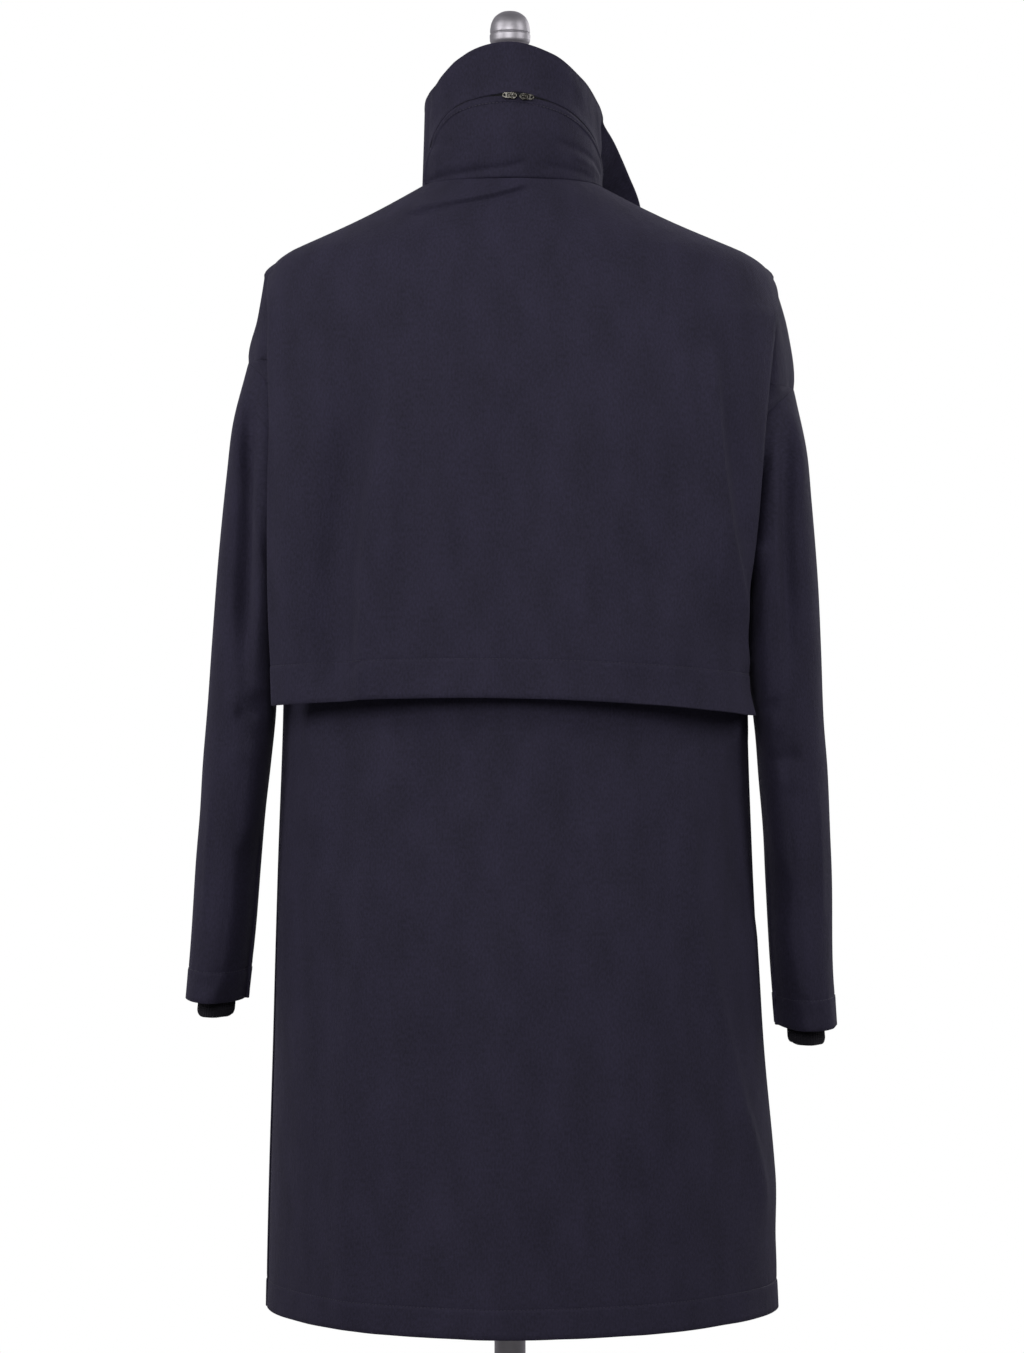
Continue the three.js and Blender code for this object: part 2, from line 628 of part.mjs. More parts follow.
function formGrid() {
  const afterMiddle = FRONT_LEFT_ANGLES.slice(MIDDLE_ANGLES.length, -1);
  const angles = [...BACK_ANGLES, ...FRONT_RIGHT_ANGLES.slice(1), ...afterMiddle];
  const own = (table) =>
    table.map(({ z, side, back, front }) =>
      angles.map((angle) => sectionPoint(angle, { left: side, right: side, back, front, square: 2.2 }, z)),
    );
  const yoke = YOKE_SHARES.map((share) => angles.map((angle) => yokePoint(angle, share)));
  const inset = (i) => (i < YOKE_SHARES.length - 1 ? SHELL_WALL + FORM_GAP : FORM_NECK_INSET);
  const under = moved(yoke, (i) => -inset(i), true);
  const shoulders = under.filter((_, i) => FORM_ROWS.includes(YOKE_SHARES[i]));
  for (const point of shoulders[0]) {
    point.x = Math.sign(point.x) * Math.min(FORM_SHOULDER_END, Math.abs(point.x));
  }
  return [...own(TORSO), ...shoulders, ...own(FORM_NECK)];
}

function knobGeometry() {
  const profile = KNOB.map(([radius, rise]) => [radius, NECK_TOP_Z + NECK_CAP.height + 2 * SEAT_GAP + rise]);
  return turned(profile, 40).translate(0, NECK_CAP.middleY, 0);
}

function neckCapGeometry() {
  const { radius, height, bevel, middleY } = NECK_CAP;
  const low = NECK_TOP_Z + SEAT_GAP;
  const profile = [
    [0, low],
    [radius, low],
    [radius, low + height - bevel],
    [radius - bevel, low + height],
    [0, low + height],
  ];
  return turned(profile, 40).translate(0, middleY, 0);
}

function footGeometry() {
  const { radius, height, bevel } = FOOT;
  return turned(
    [
      [0, 0],
      [radius - bevel, 0],
      [radius, bevel],
      [radius, height - bevel],
      [radius - bevel, height],
      [0, height],
    ],
    64,
  );
}

function socketGeometry() {
  const { radius, height, bevel } = SOCKET;
  const [low, high, bore] = [FOOT.height + SEAT_GAP, FOOT.height + height, POLE_RADIUS + SEAT_GAP + 0.1];
  return turned(
    [
      [bore, low],
      [radius, low],
      [radius, high - bevel],
      [radius - bevel, high],
      [bore, high],
      [bore, low],
    ],
    32,
  );
}

function rod(radius, low, high, segments) {
  return turned(
    [
      [0, low],
      [radius, low],
      [radius, high],
      [0, high],
    ],
    segments,
  );
}

// ---------------------------------------------------------------- materials and the whole part

const FINISHES = {
  shell: { color: 0x2b2937, roughness: 0.85, metalness: 0 },
  rib: { color: 0x0d0c11, roughness: 0.95, metalness: 0 },
  tape: { color: 0x17161c, roughness: 0.6, metalness: 0 },
  metal: { color: 0x8b8985, roughness: 0.3, metalness: 1 },
  steel: { color: 0xc9c7c6, roughness: 0.25, metalness: 1 },
  form: { color: 0xb9b2a6, roughness: 0.9, metalness: 0 },
  foot: { color: 0x3a3a3d, roughness: 0.5, metalness: 0.4 },
};

const coat = new THREE.Group();

function add(name, finish, geometry) {
  const mesh = new THREE.Mesh(geometry, new THREE.MeshStandardMaterial(FINISHES[finish]));
  mesh.name = name;
  coat.add(mesh);
  return mesh;
}

add("back", "shell", shell(backGrid(), SHELL_WALL));
add("front_right", "shell", shell(frontRightGrid(), SHELL_WALL));
add("front_left", "shell", shell(frontLeftGrid(), SHELL_WALL));
add("cape", "shell", shell(capeGrid(), CAPE_WALL));
add("collar", "shell", shell(collarGrid(), COLLAR_WALL));
add("hood_pocket", "shell", shell(pocketGrid(), POCKET_WALL));
add("zip_tape", "tape", shell(zipGrid(), ZIP.wall));

const SLEEVES = [
  { name: "left", side: -1, table: LEFT_SLEEVE },
  { name: "right", side: 1, table: RIGHT_SLEEVE },
];
for (const { name, side, table } of SLEEVES) {
  add(`sleeve_${name}`, "shell", shell(sleeveGrid(side, table), SHELL_WALL, true));
  add(`rib_cuff_${name}`, "rib", shell(ribGrid(side, table), RIB_WALL, true));
}

const zipMiddle = zipAngleAt(ZIP_MIDDLE_X);
for (const { name, side } of SLEEVES) {
  const angle = zipMiddle + side * (zipAngleAt(SLIDER_FROM_MIDDLE) - zipAngleAt(0));
  const frame = zipFrame(angle, SLIDER_LIFT);
  if (side > 0) {
    frame.multiply(new THREE.Matrix4().makeRotationY(Math.PI));
  }
  add(`slider_${name}`, "metal", sliderGeometry()).applyMatrix4(frame);
  add(`pull_${name}`, "metal", pullGeometry()).applyMatrix4(frame);
}

add("form_torso", "form", stack(formGrid()));
add("neck_cap", "steel", neckCapGeometry());
add("knob", "steel", knobGeometry());
const formBase = TORSO[0].z - SEAT_GAP;
add("form_plate", "foot", rod(PLATE.radius, formBase - PLATE.height, formBase, 32));
add("pole", "steel", rod(POLE_RADIUS, FOOT.height + SEAT_GAP, formBase - PLATE.height - SEAT_GAP, 24));
add("pole_socket", "foot", socketGeometry());
add("foot", "foot", footGeometry());

export default coat;
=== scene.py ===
"""A navy overcoat with a cape over its back, on a limbless dress form.

Lengths are millimetres until a mesh is made. The coat's back faces -Y and the wearer's right is +X.
Angles go round the wearer in degrees: 0 is the middle of the back, 90 the right side, 180 the front.
"""
import math
from typing import NamedTuple

import bpy
import numpy as np
from mathutils import Matrix, Vector


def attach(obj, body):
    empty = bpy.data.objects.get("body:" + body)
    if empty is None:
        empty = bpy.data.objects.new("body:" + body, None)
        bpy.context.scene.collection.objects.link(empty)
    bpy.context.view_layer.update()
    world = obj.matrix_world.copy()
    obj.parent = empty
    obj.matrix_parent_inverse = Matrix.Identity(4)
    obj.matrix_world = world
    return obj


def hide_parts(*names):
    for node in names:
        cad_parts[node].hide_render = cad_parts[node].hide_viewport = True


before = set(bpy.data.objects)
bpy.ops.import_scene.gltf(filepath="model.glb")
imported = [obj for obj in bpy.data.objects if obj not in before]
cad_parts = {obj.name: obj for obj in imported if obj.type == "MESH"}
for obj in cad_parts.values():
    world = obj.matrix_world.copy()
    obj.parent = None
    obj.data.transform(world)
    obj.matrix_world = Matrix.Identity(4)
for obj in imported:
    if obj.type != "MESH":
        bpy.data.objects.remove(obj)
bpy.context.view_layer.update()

COAT = "coat_on_form"
MM = 0.001


# ---------------------------------------------------------------- sizes shared with the solid model

SHELL_WALL = 1.6  # coat cloth with its lining
CAPE_WALL = 1.4
COLLAR_WALL = 2.4  # two layers with interlining
POCKET_WALL = 1.4
RIB_WALL = 2.2
LAYER_GAP = 0.8  # air between a piece and the one it lies on

HEM_Z = 408
YOKE_Z = 1331  # where the shoulders start to close in towards the neck
YOKE_CORNER = 1.2  # how squarely the shoulder line turns at its outer end
ARMHOLE_Z, ARMHOLE_HALF, ARMHOLE_TURN = 1170, 74, 32
OVERLAP_TURN = 8  # the right front laps over the left by this angle past the middle

NECK = {"left": 79, "right": 81, "back": 88, "front": 72, "square": 2}
NECK_BACK_Z, NECK_SIDE_Z, NECK_FRONT_Z = 1409, 1411, 1362


def table(columns, *rows):
    """A table of sections: each column by its name, as an array with a value for each row."""
    return {name: np.array([row[i] for row in rows], float) for i, name in enumerate(columns.split())}


# Each section reaches left, right, back and front of the pole. square is its exponent: 2 is an ellipse.
BODY = table(
    "z left right back front square drop",
    (408, 219, 241, 167, 150, 1.8, 0),
    (520, 216.5, 236, 163, 149, 1.85, 0),
    (640, 213, 227, 158.5, 148, 1.9, 0),
    (720, 211, 223, 155, 147, 1.95, 0),
    (810, 208.5, 218.5, 151, 146, 2, 0),
    (945, 204, 214, 144, 146, 2.05, 3),
    (1096, 203, 214, 139, 144, 2.1, 12),
    (1170, 215, 232, 138, 141, 2.1, 12),
    (1244, 235, 255, 134, 130, 2.1, 12),
    (1290, 227, 250, 128, 117, 2.1, 6),
    (1331, 221, 237, 121, 103, 2.1, 1),
)
# side is how far behind the pole the cape's widest line lies; turn_left and turn_right are its edges.
CAPE = table(
    "z left right back side square turn_left turn_right",
    (956, 213, 217, 163, 62, 2.2, 78, 98),
    (978, 215, 213.5, 161, 62, 2.2, 76, 92),
    (1033, 219, 211.5, 158, 62, 2.2, 74, 79),
    (1094, 221, 225, 154, 62, 2.2, 73, 73),
    (1149, 221, 231, 150, 60, 2.2, 73, 72),
    (1195, 220, 235, 146.5, 55, 2.2, 73, 72),
    (1242, 221, 239, 141.5, 45, 2.2, 74, 73),
    (1290, 226.5, 246, 134, 25, 2.15, 70, 73),
    (1302, 226.3, 245, 131, 18, 2.15, 71, 76),
    (1314, 225.5, 243.5, 128, 9, 2.1, 73, 86),
    (1331, 223.4, 239.4, 123.4, 0, 2.1, 78, 90),
)
CAPE_TILT, CAPE_CORNER_DROP, CAPE_HALF_WIDTH, CAPE_DROP_ENDS = 0.018, 12, 220, 1100

# The outer line is (out_x, out_z), the inner one (in_x, in_z). lean moves the sleeve's back fold from the
# middle (0) to the side next to the body (1).
LEFT_SLEEVE = table(
    "out_z out_x in_z in_x back front lean",
    (1205, 246, 1076, 208, -76, 76, 0.3),
    (1150, 253.5, 1045, 208.5, -72, 75, 0.5),
    (1078, 261, 1010, 209, -68, 74, 0.65),
    (1010, 266.4, 975, 210, -65, 73, 0.75),
    (950, 271, 938, 211.5, -61, 71, 0.8),
    (897, 276, 895, 216, -56, 70, 0.85),
    (852, 279, 852, 221, -51, 69, 0.85),
    (806, 283, 806, 225, -46, 68, 0.75),
    (745, 287, 745, 230, -41, 67, 0.5),
    (686, 292, 685, 237, -36, 66, 0.15),
)
RIGHT_SLEEVE = table(
    "out_z out_x in_z in_x back front lean",
    (1180, 264, 1052, 214.5, -76, 76, 0.3),
    (1125, 270, 1022, 214, -72, 75, 0.5),
    (1060, 275.5, 988, 214.5, -68, 74, 0.65),
    (1000, 278.5, 955, 217.5, -65, 73, 0.75),
    (938, 281.2, 920, 221.5, -61, 71, 0.8),
    (889, 285.5, 882, 224.5, -56, 70, 0.85),
    (836, 288, 836, 228.6, -51, 69, 0.85),
    (788, 290, 788, 231, -46, 68, 0.75),
    (718, 290.7, 718, 235, -41, 67, 0.5),
    (661, 294, 661, 240, -36, 66, 0.15),
)
SLEEVE_SQUARE = 2.2
SLEEVE_RING_OUT, SLEEVE_RING_DROP = 0.35, 0.4  # the sleeve's top ring stands off the armhole by these

RIB = {"half_width": 16.9, "half_depth": 36.6, "low": -17.5, "high": 40, "fold": 6, "tuck": 3}

# Each row is a place on the collar's top edge. lean is 0 where the collar rises straight to it, and near 1
# where it first stands up and then falls outwards.
COLLAR = table(
    "angle x y z lean",
    (-176, -8, 82, 1448, 0),
    (-150, -41, 74, 1452, 0),
    (-120, -69, 40, 1466, 0),
    (-90, -76.5, -8, 1487, 0),
    (-60, -65, -53, 1498, 0),
    (-30, -38, -83, 1520, 0),
    (0, 0, -93, 1528, 0),
    (30, 37, -84, 1519, 0),
    (60, 63, -56, 1503, 0.05),
    (90, 79.5, -14, 1486, 0.15),
    (105, 87.5, 10, 1469, 0.3),
    (120, 97, 34, 1453, 0.5),
    (135, 108, 56, 1432, 0.65),
    (150, 119, 78, 1408, 0.75),
    (165, 124, 96, 1374, 0.85),
    (176, 119, 108, 1340, 0.9),
)
COLLAR_LIFT = 1.2
# The hood pocket's zip is an arch, level over the middle and steep at both ends.
ZIP_CROWN, ZIP_CROWN_ANGLE, ZIP_START, ZIP_END = 0.605, 4, -68, 86
ZIP_LEFT_REACH, ZIP_LEFT_SQUARE, ZIP_RIGHT_REACH, ZIP_RIGHT_SQUARE = 74, 6, 88, 3
ZIP_WIDTH = 4
POCKET_SWELL = 4
SLIDER_FROM_MIDDLE, SLIDER_LIFT, ZIP_MIDDLE_X, PIN_OUT = 4.6, 3.1, 6.7, 4

TORSO = table(
    "z side back front",
    (760, 158, 112, 96),
    (800, 166, 120, 99),
    (860, 163, 113, 97),
    (930, 139, 90, 90),
    (1000, 122, 78, 90),
    (1080, 132, 89, 102),
    (1160, 150, 101, 122),
    (1230, 160, 106, 116),
    (1290, 176, 102, 96),
)
FORM_NECK = table("z side back front", (1421, 62, 67, 50), (1445, 56, 61, 46), (1490, 53, 57, 44))
FORM_YOKE_SHARES, FORM_SHOULDER_END = (0.35, 0.5, 0.65, 0.8, 1), 187

CAP_RADIUS, CAP_HEIGHT, CAP_MIDDLE_Y = 49, 14, -6
SEAT_GAP = 0.3  # air between two hard pieces, one seated on the other
POLE_RADIUS = 14
PLATE_RADIUS, PLATE_HEIGHT = 46, 6
FOOT_RADIUS, FOOT_HEIGHT = 190, 9
SOCKET_RADIUS, SOCKET_HEIGHT = 25, 46


# ---------------------------------------------------------------- curves through the tables


def smooth(value, low, high):
    share = np.clip((value - low) / (high - low), 0, 1)
    return share * share * (3 - 2 * share)


def bell(distance, reach):
    return np.exp(-((distance / reach) ** 2))


def mix(a, b, share):
    return a + (b - a) * share


def power(value, exponent):
    return np.sign(value) * np.abs(value) ** exponent


def curve_between(low, high, low_slope, high_slope, t):
    """A smooth curve from low to high as t goes from 0 to 1."""
    lift = (2 * t**3 - 3 * t**2 + 1) * low + (3 * t**2 - 2 * t**3) * high
    return lift + (t**3 - 2 * t**2 + t) * low_slope + (t**3 - t**2) * high_slope


def rows_at(rows, column, place):
    """Every column of a table at the given places, on smooth curves through its rows."""
    xs = rows[column]
    place = np.clip(place, xs[0], xs[-1])
    i = np.clip(np.searchsorted(xs, place), 1, len(xs) - 1)
    span = xs[i] - xs[i - 1]
    found = {}
    for name, ys in rows.items():
        slope = np.diff(ys, append=0) / np.diff(xs, append=0)
        slope[-1] = slope[-2]
        slope[1:-1] = (ys[2:] - ys[:-2]) / (xs[2:] - xs[:-2])
        t = (place - xs[i - 1]) / span
        found[name] = curve_between(ys[i - 1], ys[i], slope[i - 1] * span, slope[i] * span, t)
    return found


def through(rings, places):
    """Rings of points on smooth curves through the given ones. places counts in rings, from 0."""
    i = np.clip(np.asarray(places).astype(int), 0, len(rings) - 2)
    t = (places - i)[:, None, None]
    slopes = np.gradient(rings, axis=0)
    return curve_between(rings[i], rings[i + 1], slopes[i], slopes[i + 1], t)


def smooth_path(points, per_span=6):
    places = np.linspace(0, len(points) - 1, (len(points) - 1) * per_span + 1)
    return through(np.array(points, float)[:, None, :], places)[:, 0]


def uneven(place, wave, seed):
    """A wandering wave about as long as wave, from -1 to 1: three waves of unlike lengths added up."""
    total = 0
    for i, share in enumerate((1, 0.62, 1.73)):
        total = total + np.sin(2 * np.pi * place / (wave * share) + seed * (i + 1.7)) / (i + 1.4)
    return total / 1.4


def levels(start, stop, step, *seams):
    """Even levels about a step apart, with close ones on each side of a row of stitches."""
    even = np.linspace(start, stop, max(2, round(abs(stop - start) / step) + 1))
    kept = [level for level in even if all(abs(level - seam) > 3.6 for seam in seams)]
    close = [seam + offset for seam in seams for offset in (-2.6, -1.4, -0.7, 0, 0.7, 1.4, 2.6)]
    return np.array(sorted(kept + close))


def settled(grid, rows, times=24):
    """A grid whose rows run smoothly into each other over a slice of rows."""
    grid = grid.copy()
    before, after = slice(rows.start - 1, rows.stop - 1), slice(rows.start + 1, rows.stop + 1)
    for _ in range(times):
        grid[rows] = (grid[before] + 2 * grid[rows] + grid[after]) / 4
    return grid


def index_of(places, wanted):
    return int(np.argmin(np.abs(np.asarray(places) - wanted)))


# ---------------------------------------------------------------- the coat's surface


def section(angle, row, z):
    across, along = np.sin(np.radians(angle)), -np.cos(np.radians(angle))
    side = row.get("side", 0)
    reach_x = np.where(across < 0, row["left"], row["right"])
    reach_y = np.where(along < 0, row["back"] - side, row.get("front", row["back"] - side) + side)
    x = reach_x * power(across, 2 / row["square"])
    y = reach_y * power(along, 2 / row["square"]) - side
    return np.stack(np.broadcast_arrays(x, y, z), -1).astype(float)


def body_point(angle, z):
    row = rows_at(BODY, "z", z)
    return section(angle, row, z - row["drop"] * np.sin(np.radians(angle)))


def neck_point(angle):
    turn = np.cos(np.radians(angle))
    low = np.where(turn < 0, NECK_FRONT_Z, NECK_BACK_Z)
    return section(angle, NECK, mix(NECK_SIDE_Z, low, turn**2))


def yoke_point(angle, share):
    low, high = body_point(angle, np.full_like(angle, YOKE_Z, dtype=float)), neck_point(angle)
    inward = share - YOKE_CORNER * share * (1 - share) ** 4
    flat = mix(low[..., :2], high[..., :2], inward[..., None])
    return np.concatenate([flat, mix(low[..., 2:], high[..., 2:], share[..., None])], -1)


def cut_at(z):
    """How far round the armhole cuts into a panel at a height, in degrees."""
    return ARMHOLE_TURN * np.sqrt(np.clip(1 - ((z - ARMHOLE_Z) / ARMHOLE_HALF) ** 2, 0, 1))


def collar_point(angle, share):
    low = neck_point(angle) + (0, 0, COLLAR_LIFT)
    row = rows_at(COLLAR, "angle", angle)
    high = np.stack([row["x"], row["y"], row["z"]], -1)
    rise = np.linalg.norm(high - low, axis=-1)
    middle = (low + high) / 2
    upright = np.stack([low[..., 0], low[..., 1], middle[..., 2] + 0.35 * rise], -1)
    bend = mix(middle, upright, row["lean"][..., None])
    t = share[..., None]
    return (1 - t) ** 2 * low + 2 * t * (1 - t) * bend + t**2 * high


def collar_height(angle):
    return np.linalg.norm(collar_point(angle, 1 + 0 * angle) - collar_point(angle, 0 * angle), axis=-1)


def zip_share(angle):
    """The zip's height at each angle, as a share of the collar's."""
    left = np.abs((angle - ZIP_CROWN_ANGLE) / ZIP_LEFT_REACH) ** ZIP_LEFT_SQUARE
    right = np.abs((angle - ZIP_CROWN_ANGLE) / ZIP_RIGHT_REACH) ** ZIP_RIGHT_SQUARE
    return ZIP_CROWN * np.maximum(0, 1 - np.where(angle < ZIP_CROWN_ANGLE, left, right)) ** 0.6


# ---------------------------------------------------------------- grids of cloth


def normals_of(grid, closed=False):
    along = (np.roll(grid, -1, 1) - np.roll(grid, 1, 1)) if closed else np.gradient(grid, axis=1)
    normal = np.cross(along, np.gradient(grid, axis=0))
    return normal / np.maximum(np.linalg.norm(normal, axis=-1, keepdims=True), 1e-9)


def moved(grid, distance, closed=False):
    """A grid moved along its own outward directions."""
    return grid + normals_of(grid, closed) * np.asarray(distance, float)[..., None]


def run_lengths(grid, axis):
    """How far each point of a grid is along its row (axis 1) or its column (axis 0)."""
    steps = np.linalg.norm(np.diff(grid, axis=axis), axis=-1)
    return np.concatenate([np.zeros_like(np.take(steps, [0], axis)), np.cumsum(steps, axis)], axis)


class Fold(NamedTuple):
    """A soft crease. Its height is above 0 for a ridge and below for a trough; left and right are its
    reach to each hand along its path, and it fades out over the same length at both ends."""

    path: list
    height: float
    left: float
    right: float
    fade: float = 40
    crest: float = 2  # the lower, the sharper


def beside(x, y, points):
    """For each place, its distance from a path, above 0 on the path's left hand, and how far it is from
    both of the path's ends, along the path."""
    nearest = np.full(x.shape, np.inf)
    side, run = np.zeros_like(x), np.zeros_like(x)
    start = 0.0
    for (ax, ay), (bx, by) in zip(points[:-1], points[1:]):
        dx, dy = bx - ax, by - ay
        length = math.hypot(dx, dy)
        t = np.clip(((x - ax) * dx + (y - ay) * dy) / length**2, 0, 1)
        distance = np.hypot(x - ax - t * dx, y - ay - t * dy)
        nearer = distance < nearest
        nearest = np.where(nearer, distance, nearest)
        side = np.where(nearer, dx * (y - ay) - dy * (x - ax), side)
        run = np.where(nearer, start + t * length, run)
        start += length
    return np.where(side > 0, nearest, -nearest), run, start - run


def fold_relief(x, y, fold):
    points = smooth_path(fold.path) if len(fold.path) > 2 else np.array(fold.path, float)
    distance, run, left_to_run = beside(x, y, points)
    reach = np.where(distance > 0, fold.left, fold.right)
    ends = smooth(run, 0, fold.fade) * smooth(left_to_run, 0, fold.fade)
    return fold.height * np.exp(-((np.abs(distance) / reach) ** fold.crest)) * ends


def folded(x, y, folds):
    return sum(fold_relief(x, y, fold) for fold in folds)


STITCH_DITCH, STITCH_REACH = 0.45, 1.1  # a row of stitches pulls the cloth into a shallow ditch


def ditch(distance):
    return -STITCH_DITCH * bell(distance, STITCH_REACH)


def turned_hem(distance, depth, along, seed):
    """A hem turned up by depth: a little thicker below its stitches, and slightly puckered by them."""
    thick = 0.5 * smooth(depth - distance, -1.5, 1.5)
    pucker = 0.4 * uneven(along, 19, seed) * bell(distance - depth, 9)
    wave = 0.7 * uneven(along, 47, seed + 2) * bell(distance, 1.3 * depth)
    return thick + pucker + wave + ditch(distance - depth)


# ---------------------------------------------------------------- meshes


def as_piece(name, mesh):
    piece = bpy.data.objects.new(name, mesh)
    bpy.context.scene.collection.objects.link(piece)
    return piece


def mesh_of(name, points, faces, material, uvs=None, sharp=50):
    """A smooth mesh from points and, where it has a weave, the place of each corner on the flat cloth."""
    mesh = bpy.data.meshes.new(name)
    mesh.from_pydata((np.asarray(points) * MM).tolist(), [], faces)
    if uvs is not None:
        layer = mesh.uv_layers.new(name="cloth")
        layer.data.foreach_set("uv", (np.asarray(uvs) * MM).ravel())
    mesh.polygons.foreach_set("use_smooth", [True] * len(mesh.polygons))
    mesh.set_sharp_from_angle(angle=math.radians(sharp))
    mesh.materials.append(material)
    mesh.update()
    return mesh


def grid_faces(high, wide, closed=True):
    """The faces of rows of points. A closed grid joins each row's end to its start."""
    index = np.arange(high * wide).reshape(high, wide)
    ring = np.concatenate([index, index[:, :1]], 1) if closed else index
    return np.stack([ring[:-1, :-1], ring[:-1, 1:], ring[1:, 1:], ring[1:, :-1]], -1).reshape(-1, 4)


def closed_faces(high, wide):
    """The faces of rings of points, with both ends closed."""
    last = (high - 1) * wide
    ends = [list(range(wide))[::-1], list(range(last, last + wide))]
    return grid_faces(high, wide).tolist() + ends


def past_seam(corners, length):
    """Corners of faces on flat cloth, where those that cross a tube's seam run on past its length."""
    crosses = np.ptp(corners[..., 0], axis=1)[:, None] > length / 2
    corners[..., 0] += np.where(crosses & (corners[..., 0] < length / 2), length, 0)
    return corners


def wall_edges(index, closed):
    """The edges of a grid in order, with the cloth on their left, and the points just inside them."""
    if closed:
        low = np.append(index[0], index[0][0])
        top = np.append(index[-1], index[-1][0])[::-1]
        return [(low, low + len(index[0])), (top, top - len(index[0]))]
    return [
        (index[0], index[1]),
        (index[:, -1], index[:, -2]),
        (index[-1][::-1], index[-2][::-1]),
        (index[:, 0][::-1], index[:, 1][::-1]),
    ]


RIM_SHARE = 0.45  # how far a wall's rounded edge stands past its faces, as a share of its thickness


def cloth(name, grid, wall, material, closed=False):
    """A wall of cloth behind a grid, with rounded edges."""
    high, wide = grid.shape[:2]
    count = high * wide
    inner = moved(grid, np.full((high, wide), -wall), closed).reshape(-1, 3)
    outer = grid.reshape(-1, 3)
    middle = (outer + inner) / 2
    across = run_lengths(np.concatenate([grid, grid[:, :1]], 1) if closed else grid, 1)
    length = across[:, -1].mean()
    if closed:
        across = np.tile(np.arange(wide) * length / wide, (high, 1))
    else:
        across = across - across[:, wide // 2 : wide // 2 + 1]
    uv = np.stack([across, run_lengths(grid, 0)], -1).reshape(-1, 2)

    quads = grid_faces(high, wide, closed)
    points, uvs, faces = [outer, inner], [uv, uv], [quads, quads[:, ::-1] + count]
    rims, total = [], 2 * count
    for line, inside in wall_edges(np.arange(count).reshape(high, wide), closed):
        outward = middle[line] - middle[inside]
        outward /= np.linalg.norm(outward, axis=-1, keepdims=True)
        rim = np.arange(total, total + len(line))
        total += len(line)
        points.append(middle[line] + outward * wall * RIM_SHARE)
        uvs.append(uv[line])
        faces.append(np.stack([line[1:], line[:-1], rim[:-1], rim[1:]], -1))
        faces.append(np.stack([rim[1:], rim[:-1], line[:-1] + count, line[1:] + count], -1))
        rims.append(rim)
    points, uvs, faces = np.concatenate(points), np.concatenate(uvs), np.concatenate(faces)
    befores = rims if closed else rims[-1:] + rims[:-1]
    for rim, before in zip(rims, befores):
        gone, kept = (rim[-1], rim[0]) if closed else (rim[0], before[-1])
        points[kept] = (points[kept] + points[gone]) / 2
        faces[faces == gone] = kept
    used, renumbered = np.unique(faces, return_inverse=True)
    corners = uvs[faces.ravel()].reshape(-1, 4, 2)
    if closed:
        corners = past_seam(corners, length)
    faces = renumbered.reshape(-1, 4).tolist()
    return as_piece(name, mesh_of(name, points[used], faces, material, corners.reshape(-1, 2)))


STITCH = {"pitch": 3.2, "half": 1.2, "half_width": 0.36, "height": 0.4}


def along_line(run, values, places):
    return np.stack([np.interp(places, run, values[:, k]) for k in range(3)], -1)


def stitches(name, lines, material):
    """Rows of lockstitch along lines of points, each with its outward directions. A stitch is a bead:
    a tip at each end, and two rings of four points between them."""
    points, faces = [], []
    for line, outward in lines:
        run = run_lengths(line[None], 1)[0]
        places = np.arange(STITCH["pitch"], run[-1] - STITCH["pitch"], STITCH["pitch"])
        middles, ups = along_line(run, line, places), along_line(run, outward, places)
        aheads = along_line(run, line, places + 0.5) - middles
        aheads /= np.linalg.norm(aheads, axis=-1, keepdims=True)
        sides = np.cross(ups, aheads) * STITCH["half_width"]
        aheads, ups = aheads * STITCH["half"], ups * STITCH["height"]
        for middle, ahead, up, side in zip(middles, aheads, ups, sides):
            tip = len(points)
            points += [middle - ahead, middle + ahead]
            for centre in (middle - ahead / 2, middle + ahead / 2):
                points += [centre + side, centre + up, centre - side, centre - up / 2]
            for a, b in ((2, 3), (3, 4), (4, 5), (5, 2)):
                bead = [(0, b, a), (a, b, b + 4, a + 4), (1, a + 4, b + 4)]
                faces += [[tip + k for k in face] for face in bead]
    return as_piece(name, mesh_of(name, points, faces, material, sharp=75))


def row_line(grid, row):
    return grid[row], normals_of(grid)[row]


def column_line(grid, column, first):
    return grid[first:, column], normals_of(grid)[first:, column]


# ---------------------------------------------------------------- materials


def linear(colour):
    """An sRGB hex colour as Blender's linear red, green, blue and alpha."""
    parts = [int(colour[i : i + 2], 16) / 255 for i in (1, 3, 5)]
    return [p / 12.92 if p <= 0.04045 else ((p + 0.055) / 1.055) ** 2.4 for p in parts] + [1]


def add(tree, kind, inputs=None, **settings):
    """Adds a shader node. An input is a value, or another node's output to link from."""
    made = tree.nodes.new("ShaderNode" + kind)
    for name, value in settings.items():
        setattr(made, name, value)
    for name, value in (inputs or {}).items():
        if isinstance(value, bpy.types.NodeSocket):
            tree.links.new(value, made.inputs[name])
        else:
            made.inputs[name].default_value = value
    return made.outputs


def started(name):
    made = bpy.data.materials.new(name)
    made.use_nodes = True
    made.node_tree.nodes.clear()
    return made, made.node_tree


def finished(made, tones, share, height, bump_mm, bump=1.0, **shader):
    """A material that runs from one tone to another by share, with height as its relief."""
    tree = made.node_tree
    tones = {6: linear(tones[0]), 7: linear(tones[1])}
    inputs = {"Base Color": add(tree, "Mix", {0: share, **tones}, data_type="RGBA")[2]}
    if height:
        relief = {"Height": height, "Distance": bump_mm * MM, "Strength": bump}
        inputs["Normal"] = add(tree, "Bump", relief)["Normal"]
    inputs.update({key.replace("_", " "): value for key, value in shader.items()})
    surface = add(tree, "BsdfPrincipled", inputs)["BSDF"]
    add(tree, "OutputMaterial", {"Surface": surface})
    return made


